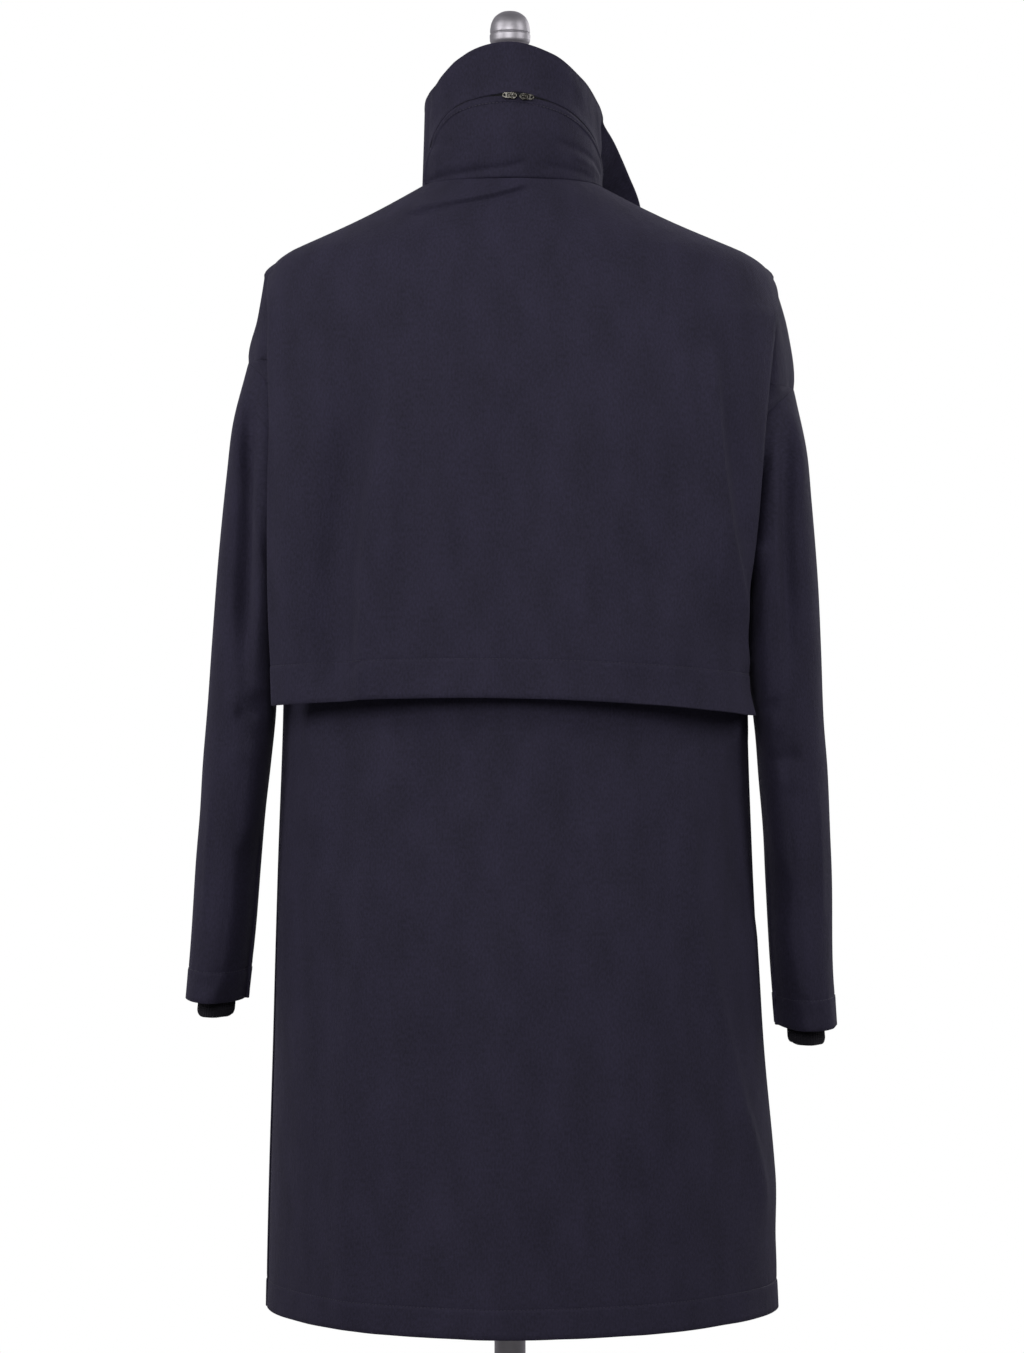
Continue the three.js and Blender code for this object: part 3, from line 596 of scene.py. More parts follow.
def pattern(tree, kind, repeat, inputs=None, span=None, **settings):
    """A texture at its real size. repeat is the size of one repeat in millimetres: two lengths lie
    across and along the flat cloth, and three lie in the object itself. span is the two levels that
    are drawn apart to 0 and 1."""
    if len(repeat) == 2:
        place = add(tree, "UVMap", uv_map="cloth")["UV"]
    else:
        place = add(tree, "TexCoord")["Object"]
    per_metre = [1000 / length for length in repeat] + [0] * (3 - len(repeat))
    place = add(tree, "VectorMath", {0: place, 1: per_metre}, operation="MULTIPLY")["Vector"]
    shade = add(tree, kind, {"Vector": place, "Scale": 1, **(inputs or {})}, **settings)["Fac"]
    if span:
        shade = add(tree, "MapRange", {"Value": shade, "From Min": span[0], "From Max": span[1]})["Result"]
    return shade


def summed(tree, *parts):
    """Several outputs added up, each times its weight."""
    total = 0.0
    for value, weight in parts:
        total = add(tree, "Math", {0: value, 1: weight, 2: total}, operation="MULTIPLY_ADD")["Value"]
    return total


WAVE_SCALE = math.pi / 10  # a wave texture's scale for one wave in each repeat


def plain_weave(tree, pitch):
    """The relief of a plain weave: warp and weft threads that pass over and under each other."""
    wave = {"Scale": WAVE_SCALE}
    weft, warp = (pattern(tree, "TexWave", (pitch, pitch), wave, bands_direction=axis) for axis in "XY")
    over = pattern(tree, "TexChecker", (pitch, pitch))
    return add(tree, "Mix", {"Factor": over, "A": weft, "B": warp})["Result"]


WEAVE_MM = 1.3  # the real threads lie 0.3 mm apart, too fine to show, so they are drawn coarser


def shell_cloth():
    """Navy rainwear cloth of polyamide and cotton, plain-woven and peached: matt and even, with short
    slubs along the weft and a faint bloom where it turns away."""
    made, tree = started("plain-woven navy shell cloth")
    grain = pattern(tree, "TexNoise", (1.7, 3.4), {"Detail": 3}, span=(0.32, 0.68))
    cloudy = pattern(tree, "TexNoise", (26, 60), {"Detail": 4}, span=(0.3, 0.7))
    slub = pattern(tree, "TexNoise", (2, 6), {"Detail": 3})
    rumple = pattern(tree, "TexNoise", (20, 42), {"Detail": 3})
    share = summed(tree, (grain, 0.6), (cloudy, 0.4))
    height = summed(tree, (plain_weave(tree, WEAVE_MM), 0.12), (slub, 0.3), (rumple, 1.6))
    sheen = {"Sheen_Weight": 0.12, "Sheen_Roughness": 0.42, "Sheen_Tint": linear("#a9a3c4")}
    tones = ("#211e2e", "#332f45")
    return finished(made, tones, share, height, 1, Roughness=0.82, Specular_IOR_Level=0.32, **sheen)


def rib_knit():
    """Black rib of wool and polyamide, knitted: its wales stand up as soft cords and give no gloss."""
    made, tree = started("black rib knit")
    share = pattern(tree, "TexNoise", (3, 3), {"Detail": 3})
    loops = pattern(tree, "TexWave", (2, 1.6), {"Scale": WAVE_SCALE}, bands_direction="Y")
    hairs = pattern(tree, "TexNoise", (0.8, 0.8), {"Detail": 2})
    height = summed(tree, (loops, 1), (hairs, 0.6))
    sheen = {"Sheen_Weight": 0.25, "Sheen_Roughness": 0.6, "Sheen_Tint": linear("#8a8794")}
    tones = ("#131217", "#1f1d24")
    return finished(made, tones, share, height, 0.35, Roughness=0.95, Specular_IOR_Level=0.2, **sheen)


def zip_tape_weave():
    """Black polyester zip tape, tightly woven: a slight silky shine along its fine cords."""
    made, tree = started("woven black zip tape")
    share = pattern(tree, "TexNoise", (1.5, 1.5), {"Detail": 2})
    height = plain_weave(tree, 0.8)
    tones = ("#121117", "#1c1b23")
    return finished(made, tones, share, height, 0.15, Roughness=0.6, Specular_IOR_Level=0.4)


def darkened_zinc():
    """Zinc alloy sliders, cast, tumbled and plated in dark nickel: brighter where they are worn."""
    made, tree = started("dark nickel-plated zinc")
    share = pattern(tree, "TexNoise", (2.2, 2.2, 2.2), {"Detail": 4}, span=(0.4, 0.62))
    height = pattern(tree, "TexNoise", (0.6, 0.6, 0.6), {"Detail": 3})
    return finished(made, ("#484640", "#7b7873"), share, height, 0.02, Metallic=1, Roughness=0.38)


def satin_steel():
    """Stainless steel, turned and satin-polished: soft bands of reflection, with hair-fine rings."""
    made, tree = started("satin-polished stainless steel")
    share = pattern(tree, "TexNoise", (9, 9, 2.5), {"Detail": 4})
    height = pattern(tree, "TexNoise", (60, 60, 0.5), {"Detail": 2})
    return finished(made, ("#b4b0b6", "#c6c3c9"), share, height, 0.03, bump=0.5, Metallic=1, Roughness=0.5)


def form_linen():
    """Unbleached linen canvas over papier-mache, stretched: uneven pale threads and no shine."""
    made, tree = started("unbleached linen canvas")
    share = pattern(tree, "TexNoise", (18, 1.2), {"Detail": 4}, span=(0.3, 0.7))
    slub = pattern(tree, "TexNoise", (14, 1.4), {"Detail": 3})
    height = summed(tree, (plain_weave(tree, 1.1), 1), (slub, 1))
    return finished(made, ("#a89c86", "#cbc1ad"), share, height, 0.3, Roughness=0.92, Sheen_Weight=0.1)


def powder_coat():
    """Steel under satin black powder coat, baked: a fine orange peel that blurs its highlights."""
    made, tree = started("satin black powder coat")
    share = pattern(tree, "TexNoise", (40, 40, 40), {"Detail": 3})
    height = pattern(tree, "TexNoise", (1.8, 1.8, 1.8), {"Detail": 2})
    return finished(made, ("#232326", "#2c2c30"), share, height, 0.06, Roughness=0.42)


def sewing_thread():
    """Navy polyester sewing thread, corded: a shade brighter than the cloth, because it is glossier."""
    made, tree = started("navy polyester thread")
    share = pattern(tree, "TexNoise", (2, 2, 2), {"Detail": 2})
    return finished(made, ("#2a2737", "#343043"), share, None, 0, Roughness=0.5, Sheen_Weight=0.1)


def studio_floor():
    """Painted board, rolled in matt grey: even, with a faint roller stipple."""
    made, tree = started("matt grey paint")
    share = pattern(tree, "TexNoise", (300, 300, 300), {"Detail": 3})
    height = pattern(tree, "TexNoise", (6, 6, 6), {"Detail": 3})
    return finished(made, ("#8b8987", "#979593"), share, height, 0.1, Roughness=0.7)


SHELL = shell_cloth()
KNIT = rib_knit()
TAPE = zip_tape_weave()
ZINC = darkened_zinc()
STEEL = satin_steel()
LINEN = form_linen()
POWDER = powder_coat()
THREAD = sewing_thread()


# ---------------------------------------------------------------- the body: back and two fronts

HEM_DEPTH = 25
SEAM_ROLL = 0.3  # each panel stops short of the seam by this, and their rounded edges press together

BACK_FOLDS = [
    Fold(
        [(143, 935), (156, 842), (165, 752), (183, 684), (198, 617), (216, 549), (229, 465)],
        4, 30, 40, 60, 1.5,
    ),
    Fold(
        [(146, 915), (156, 842), (165, 752), (183, 684), (198, 617), (216, 549), (228, 475)],
        3.6, 3.5, 9, 60, 1.4,
    ),
    Fold([(201, 930), (206, 822), (210, 735)], -5, 12, 14),
    Fold([(-163, 965), (-166, 893), (-170, 815)], 4.5, 15, 18),
    Fold(
        [(-119, 935), (-122, 824), (-128, 747), (-138, 669), (-142, 566), (-144, 380)],
        5.5, 34, 13, 60, 1.4,
    ),
    Fold([(-27, 965), (-31, 902), (-34, 845)], -4.5, 12, 14),
    Fold([(-66, 950), (-70, 880), (-76, 815)], -3.4, 16, 11),
    Fold([(60, 955), (62, 890), (66, 830)], -3.2, 14, 18),
    Fold([(5, 800), (-8, 654), (9, 542), (-4, 460)], 4, 34, 26, 80),
    Fold([(95, 830), (112, 696), (121, 590), (118, 520)], 4, 26, 30, 80),
    Fold([(-70, 700), (-62, 590), (-74, 480)], -3.6, 24, 20, 70),
    Fold([(50, 592), (69, 555), (84, 518)], -1.3, 8, 13, 22),
    Fold([(88, 548), (112, 503), (156, 468)], -1.4, 12, 8, 24),
]
# The shoulders fall in beside the free edges of the cape.
BACK_EDGE_FOLDS = [
    Fold([(-219, 1336), (-220, 1300), (-221, 1255), (-221, 1220)], -4, 12, 3.5, 16),
    Fold([(234, 1312), (232, 1275), (230, 1240), (228, 1215)], -5.5, 4.5, 12, 16),
]
FRONT_FOLDS = [
    Fold(
        [(128, 1240), (118, 1150), (124, 1010), (131, 860), (142, 640), (150, 380)],
        4.5, 26, 13, 90, 1.5,
    ),
    Fold([(74, 1190), (66, 1040), (72, 880), (64, 700), (70, 520)], -3.5, 22, 30, 90),
    Fold([(96, 760), (104, 640), (101, 520), (108, 380)], 5, 17, 26, 80, 1.5),
    Fold([(178, 1000), (176, 860), (183, 700), (190, 560)], 3, 18, 24, 80),
    Fold([(176, 1262), (146, 1238), (112, 1230)], -3.2, 9, 15, 26),
    Fold([(186, 1090), (150, 1110), (120, 1150)], -2.6, 12, 9, 28),
    Fold([(40, 1330), (34, 1230), (38, 1120)], 2.5, 16, 20, 60),
    Fold([(-46, 1310), (-52, 1200), (-48, 1060), (-58, 900)], 3.2, 20, 15, 90),
    Fold([(-92, 1210), (-88, 1060), (-98, 880), (-90, 700), (-96, 380)], -4, 28, 20, 90),
    Fold([(-134, 1130), (-140, 940), (-136, 760), (-150, 580), (-156, 380)], 5, 14, 27, 80, 1.4),
    Fold([(-60, 740), (-54, 600), (-62, 470), (-58, 380)], 3.5, 22, 16, 70),
    Fold([(-168, 1258), (-140, 1232), (-108, 1226)], -3, 14, 9, 26),
    Fold([(-178, 1100), (-150, 1116), (-116, 1160)], -2.6, 9, 13, 28),
]


def columns(start, stop, step, *seams):
    """Even angles about a step apart, with close ones at both ends and at each row of stitches."""
    even = np.linspace(start, stop, round((stop - start) / step) + 1)
    near = [start + d for d in (0.3, 0.8)] + [stop - d for d in (0.3, 0.8)]
    near += [seam + d for seam in seams for d in (-1.1, -0.5, 0, 0.5, 1.1)]
    kept = [a for a in even if all(abs(a - seam) > 1.4 for seam in seams)]
    return np.array(sorted(kept + near))[None, :]


ARMHOLE_ROWS, SHOULDER_ROWS, YOKE_ROWS = 33, 14, 27


def body_heights():
    skirt = levels(HEM_Z, ARMHOLE_Z - ARMHOLE_HALF, 4.4, HEM_Z + HEM_DEPTH)
    armhole = ARMHOLE_Z - ARMHOLE_HALF * np.cos(np.radians(np.linspace(0, 180, ARMHOLE_ROWS)))
    shoulder = np.linspace(ARMHOLE_Z + ARMHOLE_HALF, YOKE_Z, SHOULDER_ROWS)
    return np.concatenate([skirt[:-1], armhole, shoulder[1:]])


BODY_HEIGHTS = body_heights()
HEM_ROW = index_of(BODY_HEIGHTS, HEM_Z + HEM_DEPTH)
YOKE_SHARES = np.linspace(0, 1, YOKE_ROWS)[1:, None]


def body_panel(angles, give):
    """A grid of the body. give is how much of the armhole's cut each column takes, with its sign."""
    z = BODY_HEIGHTS[:, None]
    skirt = body_point(angles + cut_at(z) * give(angles), z)
    grid = np.concatenate([skirt, yoke_point(angles, YOKE_SHARES)])
    for column, inner in ((0, 1), (-1, -2)):
        at_side = abs(math.cos(math.radians(angles[0, column]))) < 1e-6
        in_front = math.cos(math.radians(angles[0, inner])) < 0
        if at_side:
            grid[:, column, 1] += SEAM_ROLL if in_front else -SEAM_ROLL
    return grid


def edge_distance(grid):
    run = run_lengths(grid, 1)
    return np.minimum(run, run[:, -1:] - run)


def body_relief(grid, folds, seed):
    x, z = grid[..., 0], grid[..., 2]
    sway = 1.6 * uneven(x, 130, seed) * smooth(z, 1150, 600)
    seam = -0.25 * bell(edge_distance(grid), 1.8)
    return folded(x, z, folds) + sway + seam + turned_hem(z - HEM_Z, HEM_DEPTH, x, seed)


BACK_SINK = 2.6  # how much deeper the back lies under the cape


def make_back():
    angles = columns(-90, 90, 1.6)
    grid = body_panel(angles, lambda angle: -angle / 90)
    relief = body_relief(grid, BACK_FOLDS, 1)
    x, z, from_edge = grid[..., 0], grid[..., 2], edge_distance(grid)
    covered = smooth(z, 985, 1060)  # the cape hides the rest, so nothing there stands proud
    under_cape = -BACK_SINK * smooth(z, 1060, 1130) * smooth(from_edge, 4, 30)
    under_cape += folded(x, z, BACK_EDGE_FOLDS) * smooth(from_edge, 1, 14)
    grid = moved(grid, mix(relief, np.minimum(relief, 0) * 0.3 + under_cape, covered))
    piece = cloth("back_panel", grid, SHELL_WALL, SHELL)
    return piece, stitches("back_hem_stitches", [row_line(grid, HEM_ROW)], THREAD)


PLACKET_TURN, EDGE_TURN = 163, 185.6  # where the right front is stitched, besides its hem
LEFT_EDGE_TURN = 180 - OVERLAP_TURN + 2.4  # and the left front


LAP_FROM = 155  # the angle from which the right front rises to lap over the left


def make_front_right():
    angles = columns(90, 180 + OVERLAP_TURN, 1.5, PLACKET_TURN, EDGE_TURN)
    grid = body_panel(angles, lambda angle: np.maximum(0, (LAP_FROM - angle) / (LAP_FROM - 90)))
    lap = (SHELL_WALL + LAYER_GAP) * smooth(angles, LAP_FROM, 180 - OVERLAP_TURN)
    sewn = [index_of(angles[0], turn) for turn in (PLACKET_TURN, EDGE_TURN)]
    run = run_lengths(grid, 1)
    relief = body_relief(grid, FRONT_FOLDS, 3) + sum(ditch(run - run[:, k : k + 1]) for k in sewn)
    relief += 0.5 * uneven(grid[..., 2], 23, 5) * smooth(angles, 158, 180)
    grid = moved(grid, relief + lap)
    piece = cloth("front_right_panel", grid, SHELL_WALL, SHELL)
    lines = [row_line(grid, HEM_ROW)] + [column_line(grid, k, first=HEM_ROW) for k in sewn]
    return piece, stitches("front_right_stitches", lines, THREAD)


def make_front_left():
    angles = columns(180 - OVERLAP_TURN, 270, 1.5, LEFT_EDGE_TURN)
    grid = body_panel(angles, lambda angle: -np.maximum(0, (angle - 205) / 65))
    lapped = smooth(angles, 198, 186)  # the right front lies on it from here to its edge
    relief = body_relief(grid, FRONT_FOLDS, 4)
    grid = moved(grid, mix(relief, np.minimum(relief, 0), lapped) - 0.3 * lapped)
    piece = cloth("front_left_panel", grid, SHELL_WALL, SHELL)
    edge = index_of(angles[0], LEFT_EDGE_TURN)
    lines = [row_line(grid, HEM_ROW), column_line(grid, edge, first=HEM_ROW)]
    return piece, stitches("front_left_stitches", lines, THREAD)


# ---------------------------------------------------------------- the cape

CAPE_HEM_Z, CAPE_HEM_DEPTH = 956, 33
CAPE_ROOM = (3.2, 16)  # how far the back lies in from it at the shoulders, and where it hangs free
CAPE_SETTLED = (9, 8)  # the rows smoothed on each side of the yoke's line

CAPE_FOLDS = [
    Fold(
        [(-133, 1295), (-130, 1220), (-138, 1165), (-145, 1105), (-149, 1045), (-147, 925)],
        -18, 13, 22, 90,
    ),
    Fold([(-108, 1235), (-116, 1155), (-123, 1091), (-127, 1031), (-131, 925)], 8, 24, 5, 60, 1.3),
    Fold([(-97, 1180), (-101, 1108), (-106, 1055)], 2, 9, 7, 40, 1.5),
    Fold(
        [(175, 1268), (179, 1194), (184, 1143), (190, 1100), (196, 1068), (202, 1035), (206, 1000)],
        9, 5, 26, 45, 1.3,
    ),
    Fold([(190, 1225), (196, 1170), (203, 1110), (208, 1070)], -5, 8, 7, 40),
    Fold([(176, 1276), (198, 1240)], -1.8, 6, 9, 14),
    Fold([(62, 992), (118, 1002), (178, 994)], 4, 40, 30, 45),
    Fold([(50, 1230), (68, 1108), (80, 1010)], 4, 24, 12, 70),
    Fold([(5, 1240), (-8, 1120), (2, 1000)], -3, 26, 20, 80),
    Fold([(130, 1200), (138, 1100), (128, 1010)], -4, 24, 18, 70),
    Fold([(-58, 1260), (-52, 1150), (-60, 1040)], 2.6, 12, 20, 80),
    Fold([(-190, 1240), (-192, 1120), (-196, 1000)], 2.4, 12, 12, 70),
    Fold([(212, 990), (209, 925)], -2.6, 7, 7, 18),
    Fold([(-146, 982), (-134, 984), (-123, 988)], -2.4, 1.8, 2.8, 8),
    # where the yoke pulls towards the collar
    Fold(
        [(-90, 1381), (-56, 1388), (-36, 1391), (-13, 1395.5), (6, 1401), (22, 1407)],
        2.6, 7, 1.3, 14, 1.5,
    ),
    Fold([(-92, 1379), (-56, 1386), (-36, 1389), (-12, 1393.5), (18, 1402)], -4, 1.4, 5, 14, 1.5),
]
# Rows up the yoke, close together where it is creased. The first few give way to the hanging part.
CAPE_YOKE_FIRST = 4
CAPE_YOKE_SHARES = np.concatenate([np.linspace(0, 0.36, 17), np.linspace(0.37, 1, 57)])[:, None]


def cape_hanging(heights, shares):
    row = rows_at(CAPE, "z", heights)
    angle = shares * np.where(shares < 0, row["turn_left"], row["turn_right"])
    grid = section(angle, row, heights)
    x = grid[..., 0]
    drop = CAPE_CORNER_DROP * (x / CAPE_HALF_WIDTH) ** 2 + CAPE_TILT * x
    grid[..., 2] -= drop * (1 - smooth(heights, CAPE_HEM_Z, CAPE_DROP_ENDS))
    return grid


def make_cape():
    shares = columns(-90, 90, 1.3) / 90
    heights = levels(CAPE_HEM_Z, YOKE_Z, 4, CAPE_HEM_Z + CAPE_HEM_DEPTH)[:, None]
    hanging = cape_hanging(heights, shares)
    lying = yoke_point(shares * 90, CAPE_YOKE_SHARES)
    lying = moved(lying, np.full(lying.shape[:2], CAPE_WALL + LAYER_GAP))[CAPE_YOKE_FIRST:]
    grid = np.concatenate([hanging, lying])
    grid = settled(grid, slice(len(hanging) - CAPE_SETTLED[0], len(hanging) + CAPE_SETTLED[1]))
    x, z = grid[..., 0], grid[..., 2]
    above_hem = np.concatenate([np.broadcast_to(heights, hanging.shape[:2]), lying[..., 2]]) - CAPE_HEM_Z
    relief = folded(x, z, CAPE_FOLDS) + turned_hem(above_hem, CAPE_HEM_DEPTH, x, 7)
    relief += 0.9 * uneven(x, 88, 6) * smooth(z, 1250, 1010)
    on_seam = smooth(z, YOKE_Z - 6, YOKE_Z + 6)
    relief += mix(0.35 * bell(edge_distance(grid) - 4, 3), -0.6 * bell(edge_distance(grid), 4), on_seam)
    room = mix(*CAPE_ROOM, smooth(z, 1300, 1100))
    grid = moved(grid, np.where(relief < 0, -room * np.tanh(-relief / room), relief))
    piece = cloth("cape_panel", grid, CAPE_WALL, SHELL)
    sewn_at = index_of(heights, CAPE_HEM_Z + CAPE_HEM_DEPTH)
    return piece, stitches("cape_stitches", [row_line(grid, sewn_at)], THREAD)


# ---------------------------------------------------------------- sleeves and rib cuffs

CUFF_DEPTH = 27
SLEEVE_EDGE_DIP = 2.5  # the sleeve's edge hangs lower at the back
SLEEVE_COLUMNS, ROWS_PER_SECTION = 150, 13
SLEEVE_MM_PER_DEGREE = 0.95  # about, round its edge

# On a sleeve's back half the places are the distance out from the pole, and the height.
SLEEVE_BACK_FOLDS = {
    "left": [
        Fold(
            [(222.5, 1275), (226, 1217), (228, 1147), (230.5, 1077), (231.5, 1041), (234, 950)],
            -14, 11, 4, 110,
        ),
        Fold([(219, 1215), (217, 1147), (217, 1077), (218, 1030), (220, 965)], 11, 9, 12, 60, 4),
        Fold([(216, 965), (221, 934)], -7, 12, 10, 14),
        Fold([(246, 943), (232, 934), (220, 924), (209, 924)], -4, 4, 7, 10),
        Fold([(208, 908), (228, 905), (248, 912)], 2, 8, 8, 16),
        Fold([(252, 962), (243, 950), (236, 944)], 1.6, 7, 7, 12),
        Fold([(267, 885), (270, 820), (274, 750)], 2.2, 3, 3.5, 40),
        Fold([(262, 700), (270, 701), (277, 707)], -1.6, 4, 4, 6),
        Fold([(238, 722), (250, 716), (262, 709)], -1.4, 5, 4, 9),
    ],
    "right": [
        Fold(
            [(240, 1258), (241.5, 1217), (241.5, 1147), (241.5, 1094), (244, 1041), (247, 945)],
            -11, 11, 4, 110,
        ),
        Fold([(230, 1245), (229.7, 1217), (223.6, 1163), (218, 1128), (214, 1085)], -13, 8, 30, 12, 1.1),
        Fold([(224, 955), (236, 940)], -6, 9, 9, 12),
        Fold([(221, 899), (239, 899), (261, 903)], -4.5, 11, 4, 12),
        Fold([(224, 920), (244, 916)], -3, 9, 9, 12),
        Fold([(222, 884), (246, 882), (266, 888)], 2, 7, 9, 16),
        Fold([(275, 880), (278, 810), (279, 740)], 2.2, 3, 3.5, 40),
        Fold([(262, 672), (270, 675), (278, 682)], -1.6, 4, 4, 6),
        Fold([(244, 698), (256, 690), (266, 682)], -1.4, 5, 4, 9),
    ],
}
# The lower arm's back fold, as heights and distances out from the pole. The cloth falls away steeply
# from it towards the body, by SLEEVE_TUCK for each millimetre.
SLEEVE_BACK_LINES = {
    "left": [
        [872, 845, 828, 817, 768, 721, 701, 688],
        [215, 225, 237, 243, 246, 253, 257, 264],
    ],
    "right": [
        [873, 856, 827, 808, 790, 745, 705, 673],
        [222, 226, 235, 243, 251, 248, 255, 262],
    ],
}
SLEEVE_TUCK, SLEEVE_TUCK_ROUND = 1.15, 3
# The front half is not told apart: one sleeve's folds lie a little lower than the other's.
SLEEVE_FRONT_FOLDS = [
    Fold([(222, 1215), (230, 1130), (236, 1040)], -5, 9, 12, 50),
    Fold([(218, 1010), (236, 990), (256, 992)], -4, 9, 12, 14),
    Fold([(218, 948), (238, 940), (262, 955)], -4.5, 9, 12, 14, 1.5),
    Fold([(220, 968), (240, 962), (262, 974)], 2.5, 8, 8, 14),
    Fold([(222, 900), (246, 890), (270, 900)], -3.5, 7, 11, 14),
    Fold([(262, 870), (260, 800), (268, 720)], 3, 12, 12, 50),
    Fold([(240, 735), (258, 722), (276, 728)], -2.4, 6, 9, 12),
]
# Across the back of the arm the cloth lies squarer than the solid, low and high, and leans in by only
# SLEEVE_LEAN of the solid's lean.
SLEEVE_BACK_SQUARE, SLEEVE_LEAN = (3, 4), 0.3
SLEEVES = {"left": (-1, LEFT_SLEEVE, 0), "right": (1, RIGHT_SLEEVE, -22)}


def sleeve_ring(side, turns):
    """The armhole, as the sleeve meets it. Plan angles run from +X by +Y."""
    outward = side * np.cos(np.radians(turns))
    angle = side * (90 + ARMHOLE_TURN * np.sin(np.radians(turns)))
    armhole = body_point(angle, ARMHOLE_Z + ARMHOLE_HALF * outward)
    return armhole + (side * SLEEVE_RING_OUT, 0, -SLEEVE_RING_DROP)


def sleeve_section(side, row, turns):
    cos, sin = np.cos(np.radians(turns)), np.sin(np.radians(turns))
    square = np.where(sin < 0, mix(*SLEEVE_BACK_SQUARE, smooth(row["out_z"], 860, 1000)), SLEEVE_SQUARE)
    outward = side * power(cos, 2 / square)
    share = (outward + 1) / 2
    z = mix(row["in_z"], row["out_z"], share)
    share = share * (1 - SLEEVE_LEAN * row["lean"] * np.clip(-sin, 0, 1) ** 2)
    y = mix(row["back"], row["front"], (power(sin, 2 / square) + 1) / 2)
    return np.stack([side * mix(row["in_x"], row["out_x"], share), y, z], -1)


def even_turns(ring_at, count):
    """Turns at which the points of a ring lie evenly along it."""
    turns = np.linspace(0, 360, 3601)
    run = run_lengths(ring_at(turns)[None], 1)[0]
    return np.interp(np.linspace(0, run[-1], count + 1)[:-1], run, turns)


def row_of(rows, i):
    return {name: values[i] for name, values in rows.items()}


def make_sleeve(name, side, rows, lower):
    turns = even_turns(lambda turns: sleeve_section(side, row_of(rows, 3), turns), SLEEVE_COLUMNS)
    count = len(rows["out_z"])
    rings = [sleeve_section(side, row_of(rows, i), turns) for i in reversed(range(count))]
    rings = np.array(rings + [sleeve_ring(side, turns)])
    first = np.linalg.norm(rings[1] - rings[0], axis=-1).mean()
    near_cuff = levels(0, first, 4.2, CUFF_DEPTH) / first
    above_cuff = np.linspace(1, count, (count - 1) * ROWS_PER_SECTION + 1)[1:]
    grid = through(rings, np.concatenate([near_cuff, above_cuff]))
    forward = np.sin(np.radians(turns))
    back, front = np.clip(-forward, 0, 1), np.clip(forward, 0, 1)
    out, z = np.abs(grid[..., 0]), grid[..., 2]
    heights, outs = SLEEVE_BACK_LINES[name]
    inside = np.interp(z, heights[::-1], outs[::-1]) - out
    inside = (np.hypot(inside, SLEEVE_TUCK_ROUND) + inside) / 2
    tuck = SLEEVE_TUCK * inside * smooth(back, 0, 0.55) * smooth(z, 905, 835)
    run = run_lengths(grid, 0)
    off_seam = smooth(run[-1:] - run, 3, 30)
    behind = folded(out, z, SLEEVE_BACK_FOLDS[name]) * smooth(back, 0.02, 0.4) * off_seam
    relief = folded(out, z + lower, SLEEVE_FRONT_FOLDS) * smooth(front, 0.1, 0.6) * off_seam
    relief += turned_hem(run, CUFF_DEPTH, turns * SLEEVE_MM_PER_DEGREE, 9)
    relief -= 0.2 * bell(run[-1:] - run, 2.5)
    grid = moved(grid, relief, True)
    grid[..., 1] += tuck - behind
    grid[..., 2] -= SLEEVE_EDGE_DIP * back**2 * (1 - smooth(run, 0, 90))
    piece = cloth(f"sleeve_{name}_tube", grid, SHELL_WALL, SHELL, closed=True)
    ring = np.concatenate([grid, grid[:, :1]], 1)
    row = index_of(near_cuff * first, CUFF_DEPTH)
    sewn = stitches(f"sleeve_{name}_stitches", [row_line(ring, row)], THREAD)
    return piece, sewn


RIB_WALES, WALE_COLUMNS, WALE_HEIGHT, WALE_SINK = 60, 6, 0.55, 0.6
RIB_EDGE_ROWS, RIB_ROWS = (0, 0.5, 1.2, 2.2, 3.6, 5.2), 26  # close rows up the folded edge, then even ones


def make_rib(name, side, rows):
    edge, above = row_of(rows, -1), row_of(rows, -2)
    count = RIB_WALES * WALE_COLUMNS

    def oval(turns):
        turns = np.radians(turns)
        return np.stack([RIB["half_width"] * np.cos(turns), RIB["half_depth"] * np.sin(turns)], -1)

    turns = np.radians(even_turns(oval, count))
    folded_edge = RIB["low"] + np.array(RIB_EDGE_ROWS)
    rise = np.concatenate([folded_edge, np.linspace(RIB["low"] + 6.5, RIB["high"], RIB_ROWS)])[:, None]
    upward = rise / (above["out_z"] - edge["out_z"])
    middle = {key: mix(edge[key], above[key], upward) for key in edge}
    low = np.clip((RIB["low"] + RIB["fold"] - rise) / RIB["fold"], 0, 1)
    tuck = RIB["tuck"] * (1 - np.sqrt(1 - low**2)) + 0.4 * bell(rise - 4, 9)
    wales = WALE_HEIGHT * (0.5 - 0.5 * np.cos(np.arange(count) * 2 * np.pi / WALE_COLUMNS)) ** 0.7
    sag = 0.5 * uneven(np.arange(count) * 0.5, 41, 3)
    swell = wales - tuck - WALE_SINK
    x = side * (middle["in_x"] + middle["out_x"]) / 2 + (RIB["half_width"] + swell) * np.cos(turns)
    y = (middle["back"] + middle["front"]) / 2 + (RIB["half_depth"] + swell) * np.sin(turns)
    z = edge["out_z"] + rise + sag * smooth(-rise, -6, 12)
    grid = np.stack(np.broadcast_arrays(x, y, z), -1)
    return cloth(f"rib_cuff_{name}_knit", grid, RIB_WALL, KNIT, closed=True)


# ---------------------------------------------------------------- the collar, its hood pocket and the zip

